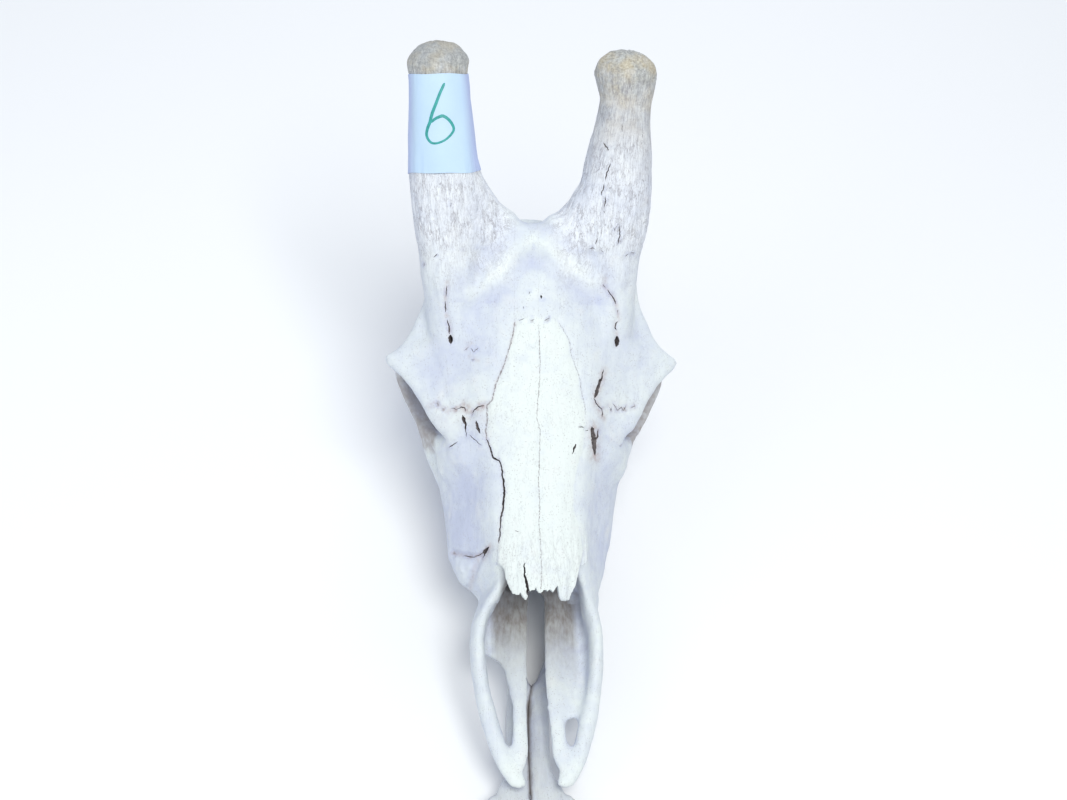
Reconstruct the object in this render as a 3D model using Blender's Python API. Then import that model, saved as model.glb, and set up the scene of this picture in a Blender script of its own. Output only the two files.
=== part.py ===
"""A young giraffe's skull with its lower jaw, life size, as a museum lays it on a shelf."""
import bpy
import bmesh
from math import cos, sin, pi, radians, sqrt
from mathutils import Vector, Matrix

# Lengths are in millimetres in the skull's own frame until the last step.
# X is across, Y runs back from the tips of the premaxillae, Z is up from the toothless front palate.
GAP = 0.3
PITCH = 6.5
FLOOR_LEVEL = -37.2
BACK_STEP = -252.2
HORN_LENGTH = 164.5
HORN_LEAN = 41.3
HORN_START = -0.05
LABEL_THICKNESS = 0.6
PAPER_FROM = 0.34
PAPER_TO = 0.835

BONE = (0.80, 0.79, 0.80)
HORN_BONE = (0.72, 0.69, 0.63)
PAPER = (0.90, 0.92, 0.93)

# Height of the midline from the nasal tips over the forehead to the nape.
TOP_LINE = ((120, 69), (140, 76), (172, 83), (214, 95), (252, 111), (291, 129), (321, 144), (351, 158),
            (397, 179), (424, 193), (440, 174), (455, 154), (475, 128), (500, 96), (520, 76))

# Outline of each nasal bone: half width along the skull.
NASAL_EDGE = ((128, 21), (136, 25), (148, 30), (166, 34), (186, 35), (200, 34), (222, 30), (246, 33),
              (262, 39), (274, 43), (290, 41), (306, 36.5), (321, 30.5), (338, 25.5), (352, 21))

# The lower jaw lies a little skew: how far its middle stands to one side along its length.
JAW_SIDE_STEP = ((0, -8), (30, -7.5), (60, -6), (85, -3.5), (102, 0.3), (121, 4), (160, 5), (236, 3),
                 (340, 0), (430, 0))

# Half width of the overhanging brow, from the tear bone to the ossicones.
BROW_EDGE = ((256, 50), (266, 62), (276, 74), (286, 85), (298, 93), (312, 100), (330, 112), (343, 126),
             (348, 130), (354, 119), (362, 110), (375, 103), (398, 93.5), (418, 90), (440, 88))
BROW_LEVEL = ((256, 86), (276, 89), (304, 95), (330, 99), (346, 104), (365, 114), (398, 130), (418, 142),
              (440, 138))

# Cross sections of the middle of the skull: (x, z) from the midline on top to the midline below.
SECTIONS = (
    (168, ((0, 80), (33, 75), (43, 52), (54, 20), (51, 6), (34, 2), (0, 6))),
    (182, ((0, 85), (34, 79), (46, 54), (63, 20), (59, 6), (38, 4), (0, 8))),
    (208, ((0, 94), (34, 87), (51, 60), (70, 24), (65, 8), (42, 9), (0, 13))),
    (244, ((0, 108), (37, 101), (57, 72), (75, 30), (68, 9), (44, 11), (0, 17))),
    (272, ((0, 120), (43, 112), (64, 84), (80, 40), (71, 9), (46, 11), (0, 19))),
    (300, ((0, 133), (42, 126), (66, 100), (74, 56), (70, 10), (47, 12), (0, 21))),
    (330, ((0, 148), (44, 139), (70, 112), (56, 76), (68, 11), (46, 13), (0, 23))),
    (360, ((0, 162), (46, 152), (72, 122), (50, 80), (54, 24), (38, 16), (0, 25))),
    (395, ((0, 178), (48, 167), (78, 136), (52, 88), (44, 44), (27, 26), (0, 26))),
    (425, ((0, 192), (44, 184), (84, 150), (56, 92), (48, 46), (27, 24), (0, 20))),
    (440, ((0, 175), (42, 170), (80, 144), (59, 92), (50, 44), (27, 22), (0, 18))),
    (455, ((0, 155), (40, 151), (72, 124), (62, 84), (52, 42), (27, 20), (0, 17))),
    (476, ((0, 128), (36, 124), (64, 100), (64, 72), (52, 38), (26, 18), (0, 15))),
    (504, ((0, 92), (34, 88), (58, 68), (61, 50), (48, 28), (24, 15), (0, 14))),
    (520, ((0, 72), (26, 69), (44, 55), (46, 42), (36, 28), (20, 18), (0, 18))),
)


def clear_scene():
    for ob in list(bpy.data.objects):
        bpy.data.objects.remove(ob, do_unlink=True)


def value(keys, t):
    """Smooth value of a list of (place, value) pairs at t, without overshoot."""
    n = len(keys)
    if t <= keys[0][0]:
        return keys[0][1]
    if t >= keys[-1][0]:
        return keys[-1][1]
    i = max(k for k in range(n - 1) if keys[k][0] <= t)
    slope = [(keys[k + 1][1] - keys[k][1]) / (keys[k + 1][0] - keys[k][0]) for k in range(n - 1)]

    def tangent(k):
        if k == 0:
            return slope[0]
        if k == n - 1:
            return slope[-1]
        if slope[k - 1] * slope[k] <= 0:
            return 0.0
        return 2 * slope[k - 1] * slope[k] / (slope[k - 1] + slope[k])

    h = keys[i + 1][0] - keys[i][0]
    s = (t - keys[i][0]) / h
    a = (1 + 2 * s) * (1 - s) ** 2 * keys[i][1] + s * (1 - s) ** 2 * h * tangent(i)
    return a + s * s * (3 - 2 * s) * keys[i + 1][1] + s * s * (s - 1) * h * tangent(i + 1)


def spline(points, per, closed=False):
    """Points on a smooth curve through the given ones."""
    pts = [Vector(p) for p in points]
    n = len(pts)
    out = []
    last = n if closed else n - 1
    for i in range(last):
        p1 = pts[i]
        p2 = pts[(i + 1) % n]
        p0 = pts[(i - 1) % n] if closed or i > 0 else p1 * 2 - p2
        p3 = pts[(i + 2) % n] if closed or i + 2 < n else p2 * 2 - p1
        for k in range(per):
            t = k / per
            out.append(0.5 * ((2 * p1) + (p2 - p0) * t + (2 * p0 - 5 * p1 + 4 * p2 - p3) * t * t
                              + (3 * p1 - p0 - 3 * p2 + p3) * t ** 3))
    if not closed:
        out.append(pts[-1])
    return out


def add_object(name, bm):
    bmesh.ops.recalc_face_normals(bm, faces=bm.faces)
    mesh = bpy.data.meshes.new(name)
    bm.to_mesh(mesh)
    bm.free()
    ob = bpy.data.objects.new(name, mesh)
    bpy.context.scene.collection.objects.link(ob)
    return ob


def loft(name, rings):
    """A closed solid skinned over rings of equal count."""
    bm = bmesh.new()
    rows = [[bm.verts.new(p) for p in ring] for ring in rings]
    n = len(rows[0])
    for a, b in zip(rows, rows[1:]):
        for i in range(n):
            j = (i + 1) % n
            bm.faces.new((a[i], a[j], b[j]))
            bm.faces.new((a[i], b[j], b[i]))
    bm.faces.new(rows[0])
    bm.faces.new(rows[-1])
    bmesh.ops.triangulate(bm, faces=[f for f in bm.faces if len(f.verts) > 4])
    return add_object(name, bm)


def tube(name, path, sizes, side=1, per=5, around=16, up=(0, 0, 1), round_ends=True):
    """A bar along a smooth path: sizes are (half width, half height) at each path point."""
    centre = spline([(p[0] * side, p[1], p[2]) for p in path], per)
    wide = spline([(s[0], s[1], 0) for s in sizes], per)
    n = len(centre)
    rings = []
    for i, c in enumerate(centre):
        tangent = (centre[min(i + 1, n - 1)] - centre[max(i - 1, 0)]).normalized()
        across = tangent.cross(Vector(up))
        across.normalize()
        rise = across.cross(tangent)
        a, b = wide[i][0], wide[i][1]
        rings.append([c + across * (a * cos(2 * pi * k / around)) + rise * (b * sin(2 * pi * k / around))
                      for k in range(around)])
    if round_ends:
        for end, c in ((0, centre[0]), (-1, centre[-1])):
            out = (centre[0] - centre[1]) if end == 0 else (centre[-1] - centre[-2])
            out.normalize()
            reach = min(wide[end][0], wide[end][1])
            caps = []
            for f in (0.55, 0.88):
                caps.append([c + (p - c) * sqrt(1 - f * f) + out * (reach * f) for p in rings[end]])
            rings = list(reversed(caps)) + rings if end == 0 else rings + caps
    return loft(name, rings)


def ball(name, centre, radii, turn=(0, 0, 0), segments=20, rings=12):
    bm = bmesh.new()
    bmesh.ops.create_uvsphere(bm, u_segments=segments, v_segments=rings, radius=1)
    place = Matrix.Translation(Vector(centre))
    spin = Matrix.Rotation(radians(turn[2]), 4, "Z") @ Matrix.Rotation(radians(turn[1]), 4, "Y")
    spin = spin @ Matrix.Rotation(radians(turn[0]), 4, "X")
    bmesh.ops.transform(bm, matrix=place @ spin @ Matrix.Diagonal((*radii, 1)), verts=bm.verts)
    return add_object(name, bm)


def box(name, low, high):
    bm = bmesh.new()
    bmesh.ops.create_cube(bm, size=1)
    size = [h - l for l, h in zip(low, high)]
    mid = [(h + l) / 2 for l, h in zip(low, high)]
    bmesh.ops.transform(bm, matrix=Matrix.Translation(mid) @ Matrix.Diagonal((*size, 1)), verts=bm.verts)
    return add_object(name, bm)


def prism(name, outline, low, high, axis="X"):
    """A straight prism: outline pairs are (y, z) for axis X and (x, y) for axis Z."""
    if axis == "X":
        rings = [[(x, p[0], p[1]) for p in outline] for x in (low, high)]
    else:
        rings = [[(p[0], p[1], z) for p in outline] for z in (low, high)]
    return loft(name, rings)


def bake(ob):
    """Apply the object's modifiers."""
    graph = bpy.context.evaluated_depsgraph_get()
    mesh = bpy.data.meshes.new_from_object(ob.evaluated_get(graph))
    ob.modifiers.clear()
    ob.data = mesh
    return ob


def drop(ob):
    bpy.data.objects.remove(ob, do_unlink=True)


def combine(ob, other, how, keep=False, solver="EXACT"):
    mod = ob.modifiers.new(how, "BOOLEAN")
    mod.operation = how
    mod.solver = solver
    mod.object = other
    bake(ob)
    if not keep:
        drop(other)
    return ob


def join(name, parts):
    bm = bmesh.new()
    for ob in parts:
        bm.from_mesh(ob.data)
        drop(ob)
    return add_object(name, bm)


def fuse(ob, voxel, smooth, triangles):
    """One skin over overlapping solids, relaxed, then thinned to about so many triangles."""
    mod = ob.modifiers.new("skin", "REMESH")
    mod.mode = "VOXEL"
    mod.voxel_size = voxel
    bake(ob)
    mod = ob.modifiers.new("relax", "SMOOTH")
    mod.factor = 0.5
    mod.iterations = smooth
    bake(ob)
    count = sum(len(p.vertices) - 2 for p in ob.data.polygons)
    mod = ob.modifiers.new("thin", "DECIMATE")
    mod.ratio = min(1.0, triangles / count)
    bake(ob)
    return largest(ob)


def largest(ob):
    """Keep the biggest closed surface, so that each part is one body."""
    bm = bmesh.new()
    bm.from_mesh(ob.data)
    bmesh.ops.remove_doubles(bm, verts=bm.verts, dist=0.0005)
    bmesh.ops.dissolve_degenerate(bm, edges=bm.edges, dist=0.0005)
    bmesh.ops.triangulate(bm, faces=bm.faces)
    left = set(bm.verts)
    groups = []
    while left:
        stack = [left.pop()]
        group = set(stack)
        while stack:
            for e in stack.pop().link_edges:
                for v in e.verts:
                    if v in left:
                        left.discard(v)
                        group.add(v)
                        stack.append(v)
        groups.append(group)
    groups.sort(key=len)
    for group in groups[:-1]:
        bmesh.ops.delete(bm, geom=list(group), context="VERTS")
    bm.to_mesh(ob.data)
    bm.free()
    return ob


def copy_of(ob, name):
    twin = bpy.data.objects.new(name, ob.data.copy())
    bpy.context.scene.collection.objects.link(twin)
    return twin


# The middle of the skull: snout, forehead and braincase in one skin.
def core_rings():
    rings = []
    for y, half in SECTIONS:
        pts = [(x, y, z) for x, z in half]
        pts += [(-x, y, z) for x, z in reversed(half[1:-1])]
        rings.append(spline(pts, 4, closed=True))
    out = []
    for k in range(len(rings[0])):
        out.append(spline([r[k] for r in rings], 3))
    return [[line[i] for line in out] for i in range(len(out[0]))]


def brow_rings():
    rings = []
    steps = 30
    for i in range(steps + 1):
        y = 256 + (440 - 256) * i / steps
        w = value(BROW_EDGE, y)
        e = value(BROW_LEVEL, y)
        top = value(TOP_LINE, y)
        thick = value(((256, 14), (290, 9), (346, 7), (400, 16), (440, 22)), y)
        half = ((0, top - 3), (w * 0.45, top - 0.30 * (top - e)), (w * 0.78, e + 0.24 * (top - e)),
                (w - 2.5, e + 2.5), (w, e - thick * 0.35), (w - 5, e - thick), (w * 0.6, e - thick - 4),
                (0, e - thick - 6))
        pts = [(x, y, z) for x, z in half]
        pts += [(-x, y, z) for x, z in reversed(half[1:-1])]
        rings.append(spline(pts, 3, closed=True))
    return rings


def eye_rings(side):
    """Lower rim, postorbital bar and cheekbone arch round one eye socket."""
    w = 1 if side > 0 else 0
    parts = [
        tube("rim", ((61, 262, 80), (68 + w * 2, 272, 70), (77 + w * 4, 284, 60), (83 + w * 5, 298, 51),
                     (93 + w * 6, 318, 46), (102 + w * 8, 338, 48), (111 + w * 8, 357, 55)),
             ((11, 12), (10, 11), (7.5, 9), (6, 8), (6, 8), (6, 8), (6, 7)), side),
        ball("jugal", ((70 + w * 2) * side, 276, 57), (13, 22, 22)),
        tube("bar", ((109 + w * 8, 362, 50), (112 + w * 6, 359, 66), (117 + w * 2, 353, 84), (118, 347, 98)),
             ((5, 8), (4.5, 7), (4.5, 7), (5, 8)), side, up=(1, 0, 0)),
        tube("cheek", ((66, 262, 30), (78, 290, 34), (90, 320, 38), (102 + w * 4, 348, 44)),
             ((12, 14), (12, 12), (8, 10), (6, 9)), side),
        tube("arch", ((106 + w * 5, 348, 46), (105 + w * 3, 374, 43), (99, 402, 42), (88, 430, 42),
                      (78, 450, 42), (60, 462, 40)),
             ((5, 10), (4.5, 9), (4.5, 8), (5, 8), (9, 8), (10, 10)), side),
        tube("glenoid", ((56, 444, 42), (72, 444, 42), (86, 440, 41)),
             ((12, 7), (12, 6), (8, 5)), side, up=(0, 0, 1)),
    ]
    return parts


def nape_parts():
    parts = [
        tube("crest", ((-60, 496, 44), (-55, 503, 68), (-30, 508, 83), (0, 509, 87), (30, 508, 83),
                       (55, 503, 68), (60, 496, 44)),
             ((6, 6),) * 7, up=(0, 1, 0)),
        tube("base", ((0, 350, 34), (0, 400, 28), (0, 450, 23), (0, 500, 21), (0, 528, 25)),
             ((15, 9), (15, 9), (19, 10), (19, 11), (16, 10))),
        ball("nape", (0, 510, 52), (54, 15, 30)),
    ]
    for side in (1, -1):
        parts.append(ball("condyle", (18 * side, 530, 35), (13, 16, 19), (0, 0, -18 * side)))
        parts.append(tube("jugular", ((47, 502, 34), (46, 510, 14), (42, 514, -6)),
                          ((7, 9), (5, 8), (3.5, 5)), side, up=(0, 1, 0)))
        parts.append(ball("bulla", (37 * side, 474, 14), (12, 17, 14)))
        parts.append(tube("ear", ((44, 476, 34), (60, 480, 39), (70, 482, 42)),
                          ((6, 6), (6, 6), (5.5, 5.5)), side))
        parts.append(tube("wing", ((21, 345, 24), (22, 362, 18), (22, 384, 20), (22, 402, 30)),
                          ((2.6, 12), (2.6, 13), (2.6, 11), (2.6, 8)), side))
    return parts


def muzzle_parts(side):
    """One premaxilla and the thin front of the upper jaw behind it."""
    prong = tube("prong", ((21, 6, -3), (28, 19, -2), (34.5, 33, 1), (40, 52, 4), (43.5, 66, 5.5),
                           (47, 82, 8), (49.5, 103, 12), (50, 126, 17), (48.5, 146, 22), (47, 164, 28),
                           (46, 184, 34)),
                 ((6.5, 4.5), (7.5, 5.5), (7, 7), (7.6, 8), (7.2, 9.5), (6.4, 11.5), (6.3, 14),
                  (6.3, 18), (6.8, 24), (7.5, 31), (8.5, 36)), side)
    bm = bmesh.new()
    bm.from_mesh(prong.data)
    for v in bm.verts:
        lean = value(((120, 0.0), (135, 0.08), (150, 0.22), (168, 0.30)), v.co.y)
        v.co.x -= side * lean * (v.co.z - 4)
    bm.to_mesh(prong.data)
    bm.free()
    parts = [prong]
    off = 0.6 if side < 0 else 0
    parts.append(tube("bar", ((23.5, 9, -3), (21, 18, -1.5), (17.5, 28, 0), (15.8 + off, 40, 1),
                              (15.2 + off, 56, 1.5), (14.6 + off, 80, 2.5), (14.8, 110, 3.5),
                              (16.5, 150, 4.5), (19, 180, 6)),
                      ((6, 4), (7.6, 4.2), (8.4, 4.2), (7.9, 4), (7.6, 3.6), (7.8, 3.2), (9, 3), (11, 2.8),
                       (12, 3)),
                      side))
    parts.append(ball("tip", (23.5 * side, 13, -2.5), (8.5, 13, 5), (0, 0, -28 * side)))
    parts.append(ball("pad", (18.5 * side, 6, -3), (8, 6, 4)))
    if side < 0:
        edge = ((70, 22), (86, 25), (99, 28), (106, 32), (112, 40), (124, 47), (150, 47), (190, 50))
    else:
        edge = ((56, 27), (58, 34), (70, 38), (90, 43), (120, 47), (150, 47), (190, 50))
    rings = []
    for y, w in edge:
        inner = 14
        z = value(((60, 1.5), (110, 2.5), (190, 6)), y)
        rings.append([(side * inner, y, z - 2), (side * w, y, z - 2.2), (side * w, y, z + 1.4),
                      (side * inner, y, z + 1.6)])
    parts.append(loft("shelf", rings))
    return parts


def nose_hollow(side):
    """The air passage on one side, open at the front and ending inside the snout."""
    rings = []
    for y, w, low, high in ((152, 34, 8.5, 67), (168, 31, 9, 72.5), (190, 30, 11, 79.5),
                            (214, 31, 16, 87), (236, 30, 22, 94), (256, 22, 34, 92)):
        inner = 1.2 if y < 180 else 1.6
        mid = (low + high) / 2
        pts = ((inner, low), (w * 0.6, low), (w * 1.02, low + 6), (w, mid), (w * 0.86, high - 6),
               (w * 0.6, high - 2), (inner, high))
        if side < 0:
            pts = tuple((x, z) for x, z in pts)
        rings.append([(side * x, y, z) for x, z in pts])
    return loft("passage", rings)


def nasal_roof():
    """The free front ends of the nasal bones, which overhang the nose opening."""
    rings = []
    for i in range(9):
        y = 133 + 47 * i / 8
        w = value(NASAL_EDGE, y) + 0.5
        z = value(TOP_LINE, y)
        half = ((0, z), (w * 0.55, z - 2.2), (w - 1.5, z - 6.0), (w, z - 8.5), (w - 3, z - 10.5),
                (w * 0.5, z - 8.5), (0, z - 6.5))
        pts = [(x, y, h) for x, h in half]
        pts += [(-x, y, h) for x, h in reversed(half[1:-1])]
        rings.append(pts)
    return loft("nasal_roof", rings)


def make_skull():
    """All the fixed bones but the ossicones, in one skin."""
    parts = [loft("core", core_rings()), loft("brow", brow_rings()), nasal_roof()]
    parts += nape_parts()
    for side in (1, -1):
        parts += eye_rings(side)
        parts += muzzle_parts(side)
        parts.append(horn_root(side))
    skull = fuse(join("skull", parts), 2.6, 5, 60000)
    for side in (1, -1):
        socket = ball("socket", (94 * side, 324, 69), (44, 29, 21.5), (0, 4 * side, -28 * side), 28, 16)
        combine(skull, socket, "DIFFERENCE")
        combine(skull, nose_hollow(side), "DIFFERENCE")
        combine(skull, tube("canal", ((58, 484, 40), (70, 483, 42), (82, 482, 44)), ((3.2, 3.2),) * 3, side),
                "DIFFERENCE")
    cord_hole = tube("cord_hole", ((0, 498, 52), (0, 520, 48), (0, 560, 42)), ((13, 13),) * 3)
    combine(skull, cord_hole, "DIFFERENCE")
    combine(skull, ball("forehead_hollow", (-1, 386, 201), (48, 26, 26), (24, 0, 0)), "DIFFERENCE")
    combine(skull, midline_gap(), "DIFFERENCE")
    skull = fuse(skull, 1.7, 6, 5800)
    for v in skull.data.vertices:
        v.co.x += natural_twist(v.co)
    return skull


def natural_twist(p):
    """No skull is quite even: the snout sides of this one stand a little to one side, then the other."""
    low = 1.0 if p.z < 45 else max(0.0, 1 - (p.z - 45) / 30)
    near = 6.0 * max(0.0, 1 - abs(p.y - 160) / 17)
    far = -3.5 * max(0.0, 1 - abs(p.y - 198) / 26)
    return low * (near + far)


def midline_gap():
    outline = ((-6, 88), (-6, 105), (-5.2, 126), (-3.8, 161), (-3.6, 172), (4.5, 172), (5, 160), (7.4, 139),
               (7, 110), (6.4, 94), (2, 86))
    return prism("midline", outline, -30, 60, axis="Z")


# The ossicones: straight bony horns, each on its own base.
def horn_axis(side):
    lean = radians(HORN_LEAN)
    tip_x = 75 if side > 0 else -90
    foot_x = 64 if side > 0 else -77
    length = HORN_LENGTH - 1.0 if side > 0 else HORN_LENGTH
    return Vector((foot_x, 425, 172)), Vector((tip_x, 425 + length * cos(lean), 172 + length * sin(lean)))


def horn_root(side):
    """The swelling of the forehead that runs up into each ossicone."""
    out = 0 if side > 0 else 11
    return tube("root", ((58 + out * 0.5, 325, 100), (60 + out * 0.6, 355, 117), (62 + out * 0.7, 385, 136),
                         (63 + out, 408, 154), (64 + out, 425, 169)),
                ((20, 16), (24, 22), (25, 26), (26, 27.5), (27, 26)), side, around=24, round_ends=False)


def horn_flare(side, s):
    """How far the foot of an ossicone spreads towards the midline."""
    if side > 0:
        return value(((-0.12, 36), (0.0, 32), (0.06, 27), (0.12, 19), (0.2, 9), (0.3, 0)), s)
    return value(((-0.12, 38), (0.0, 36), (0.06, 33), (0.12, 25), (0.2, 15), (0.28, 5), (0.36, 0)), s)


def horn_radius(side, s):
    if side > 0:
        keys = ((-0.2, 27), (-0.05, 27.5), (0.05, 30), (0.14, 31), (0.29, 30.6), (0.43, 28.4), (0.6, 24),
                (0.72, 21.6), (0.79, 23.5), (0.87, 26.5), (0.93, 23.5), (0.98, 14), (1.0, 0.1))
    else:
        keys = ((-0.2, 25), (-0.11, 25.5), (0.1, 28.7), (0.32, 29.4), (0.5, 27), (0.66, 25), (0.76, 24.2),
                (0.835, 24.3), (0.89, 26), (0.93, 23.5), (0.98, 14), (1.0, 0.1))
    return value(keys, s)


def horn_rings(side, low, high, steps, grow=0.0, around=22):
    foot, tip = horn_axis(side)
    along = (tip - foot).normalized()
    across = Vector((0, 0, 1)).cross(along).normalized()
    rise = along.cross(across)
    rings = []
    for i in range(steps + 1):
        t = i / steps
        s = low + (high - low) * t
        r = horn_radius(side, s) + grow
        c = foot + (tip - foot) * s
        if side > 0:
            c = c + across * value(((0.76, 0), (0.88, 2.6), (1.0, 2.6)), s)
        ring = []
        for k in range(around):
            a = 2 * pi * k / around
            wave = 1 + 0.018 * sin(3 * a + 5 * s + side) + 0.012 * sin(5 * a - 7 * s)
            inward = max(0.0, side * cos(a)) ** 2 * horn_flare(side, s)
            ring.append(c + across * ((r * wave + inward) * cos(a)) + rise * (r * wave * 0.94 * sin(a)))
        rings.append(ring)
    return rings


def shaft_rings(side, grow=0.0):
    """The rings of one ossicone from its seat to the neck of its knob, those under the paper included."""
    rings = horn_rings(side, HORN_START, 0.29, 6, grow)
    return rings + horn_rings(side, PAPER_FROM, PAPER_TO, 5, grow) + horn_rings(side, 0.865, 0.93, 2, grow)


def make_horn(side):
    rings = shaft_rings(side)
    for s in (0.955, 0.98, 0.995):
        rings.append(horn_rings(side, s, s + 0.001, 1)[0])
    return loft("ossicone_left" if side > 0 else "ossicone_right", rings)


def make_label():
    """A slip of paper rolled right round the ossicone on the animal's right."""
    outer = horn_rings(-1, PAPER_FROM, PAPER_TO, 5, GAP + LABEL_THICKNESS)
    inner = horn_rings(-1, PAPER_FROM, PAPER_TO, 5, GAP)
    bm = bmesh.new()
    outer = [[bm.verts.new(p) for p in ring] for ring in outer]
    inner = [[bm.verts.new(p) for p in ring] for ring in inner]
    pairs = list(zip(outer, outer[1:])) + list(zip(inner, inner[1:]))
    pairs += [(outer[0], inner[0]), (outer[-1], inner[-1])]
    n = len(outer[0])
    for a, b in pairs:
        for k in range(n):
            j = (k + 1) % n
            bm.faces.new((a[k], a[j], b[j]))
            bm.faces.new((a[k], b[j], b[k]))
    return add_object("paper_label", bm)


# Cutters along the seams between the bones.
def nasal_cutter(grow):
    rings = []
    rows = 15
    first, last = 120 - grow, 351 + grow
    for i in range(rows + 1):
        y = first + (last - first) * i / rows
        w = value(NASAL_EDGE, y) + grow
        z = value(TOP_LINE, y)
        low = [(x * w, y, z - 8.5 - grow - 7.0 * (x * w / 40) ** 2) for x in (-1, -0.5, 0, 0.5, 1)]
        rings.append([(-w, y, z + 30)] + low + [(w, y, z + 30)])
    return loft("nasal_cutter", rings)


def upper_jaw_cutter(grow):
    outline = ((-60, -60), (-60, 300), (262 + grow, 300), (262 + grow, 50), (300, 41 + grow),
               (352, 27 + grow), (360 + grow, -60))
    return prism("jaw_cutter", outline, -200, 200)


def tear_bone_cutter(side, grow):
    outline = ((44 - grow, 250), (44 - grow, 302 + grow), (62, 305 + grow), (80, 303 + grow),
               (130, 308 + grow), (130, 250))
    ob = prism("tear_cutter", [(side * x, y) for x, y in outline], 46 - grow, 200, axis="Z")
    return ob


def premaxilla_cutter(grow):
    outline = ((-60, -60), (-60, 200), (186 + grow, 200), (150 + grow, 40), (118 + grow, 12),
               (112 + grow, -60))
    return prism("premaxilla_cutter", outline, -200, 200)


def halves(ob, left_name, right_name):
    left = copy_of(ob, left_name)
    combine(left, box("half", (-300, -100, -300), (GAP / 2, 700, 500)), "DIFFERENCE", solver="MANIFOLD")
    combine(ob, box("half", (-GAP / 2, -100, -300), (300, 700, 500)), "DIFFERENCE", solver="MANIFOLD")
    ob.name = right_name
    return [largest(left), largest(ob)]


def part_skull(skull):
    """Cut the one skin along its seams into separate bones."""
    bones = []
    nasals = largest(combine(copy_of(skull, "nasals"), nasal_cutter(0), "INTERSECT"))
    combine(skull, nasal_cutter(GAP), "DIFFERENCE")
    bones += halves(nasals, "nasal_left", "nasal_right")
    upper = largest(combine(copy_of(skull, "upper"), upper_jaw_cutter(0), "INTERSECT"))
    combine(skull, upper_jaw_cutter(GAP), "DIFFERENCE")
    for side, name in ((1, "lacrimal_left"), (-1, "lacrimal_right")):
        tear = combine(copy_of(skull, name), tear_bone_cutter(side, 0), "INTERSECT")
        combine(skull, tear_bone_cutter(side, GAP), "DIFFERENCE")
        bones.append(largest(tear))
    pre = combine(copy_of(upper, "pre"), premaxilla_cutter(0), "INTERSECT")
    combine(upper, premaxilla_cutter(GAP), "DIFFERENCE")
    bones += halves(pre, "premaxilla_left", "premaxilla_right")
    maxillae = halves(upper, "maxilla_left", "maxilla_right")
    for ob, side in zip(maxillae, (1, -1)):
        for cusp in upper_teeth(side):
            combine(ob, cusp, "UNION")
        bones.append(largest(ob))
    for side in (1, -1):
        seat = horn_rings(side, HORN_START - GAP / HORN_LENGTH, HORN_START, 1, GAP)[:1]
        combine(skull, loft("seat", seat + shaft_rings(side, GAP)), "DIFFERENCE")
    skull.name = "cranium"
    bones.append(largest(skull))
    return bones


# Cheek teeth: three premolars and three molars in each row.
TOOTH_STARTS = (206, 222, 240, 259, 286, 315)
TOOTH_LENGTHS = (15, 17, 18, 26, 28, 30)


def crown(x, y, length, width, low, high, side, wear):
    """One lobe of a cheek tooth, slightly waisted at the gum and worn at a slope."""
    rings = []
    for f, grow in ((0.0, 0.82), (0.6, 1.0), (1.0, 0.88)):
        z = low + (high - low) * f
        ring = []
        for k in range(8):
            a = 2 * pi * (k + 0.5) / 8
            px = x + 0.5 * width * grow * cos(a)
            slope = wear * (px - x) if f > 0.8 else 0.0
            ring.append((side * px, y + 0.5 * length * grow * sin(a), z + slope))
        rings.append(ring)
    return loft("crown", rings)


def upper_teeth(side):
    lobes = []
    for start, length in zip(TOOTH_STARTS, TOOTH_LENGTHS):
        mid = start + length / 2
        x = value(((206, 49), (250, 57), (300, 60), (345, 58)), mid)
        width = value(((206, 15), (240, 20), (280, 24), (345, 22)), mid)
        if length < 20:
            lobes.append(crown(x, mid, length * 1.02, width, 20, -2, side, 0.10))
        else:
            for step, out, wide in ((-0.25, 0.0, width), (0.25, 0.5, width * 0.96)):
                lobes.append(crown(x + out, mid + length * step, length * 0.56, wide, 20, -2, side, 0.10))
    return lobes


def lower_teeth(side):
    lobes = []
    for start, length in zip(TOOTH_STARTS, TOOTH_LENGTHS):
        mid = start + length / 2 - 4
        x = value(((206, 39), (250, 48), (300, 54), (345, 57)), mid)
        width = value(((206, 10), (240, 13), (280, 16), (345, 15)), mid)
        if length < 20:
            lobes.append(crown(x, mid, length * 1.02, width, -30, -4.2, side, 0.10))
        else:
            lobes.append(crown(x, mid - length * 0.25, length * 0.56, width, -30, -4.2, side, 0.10))
            lobes.append(crown(x, mid + length * 0.25, length * 0.56, width * 0.95, -30, -4.2, side, 0.10))
    return lobes


def front_teeth(side):
    """Three incisors and the broad two-lobed canine of one side, in a fan."""
    teeth = []
    for turn, width, base_x, base_y in ((3, 11.8, 6.0, -12), (11, 11, 15.4, -10.5), (21, 10.5, 23.6, -8),
                                        (35, 13.5, 30.5, -4.5)):
        a = radians(turn)
        out = Vector((sin(a) * side, -cos(a), 0))
        wide = Vector((cos(a) * side, sin(a), 0))
        root = Vector((base_x * side, base_y, -19))
        rings = []
        for reach, w, thick, rise in ((-4, 0.32, 3.4, -2), (5, 0.38, 3.2, 2), (11, 0.49, 2.7, 5.0),
                                      (18, 0.54, 1.8, 8.4), (23, 0.50, 0.8, 10.4)):
            c = root + out * reach + Vector((0, 0, rise))
            ring = []
            for k in range(8):
                b = 2 * pi * k / 8
                ring.append(c + wide * (w * width * cos(b)) + Vector((0, 0, 1)) * (thick * sin(b)))
            rings.append(ring)
        teeth.append(loft("blade", rings))
    return teeth


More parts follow.
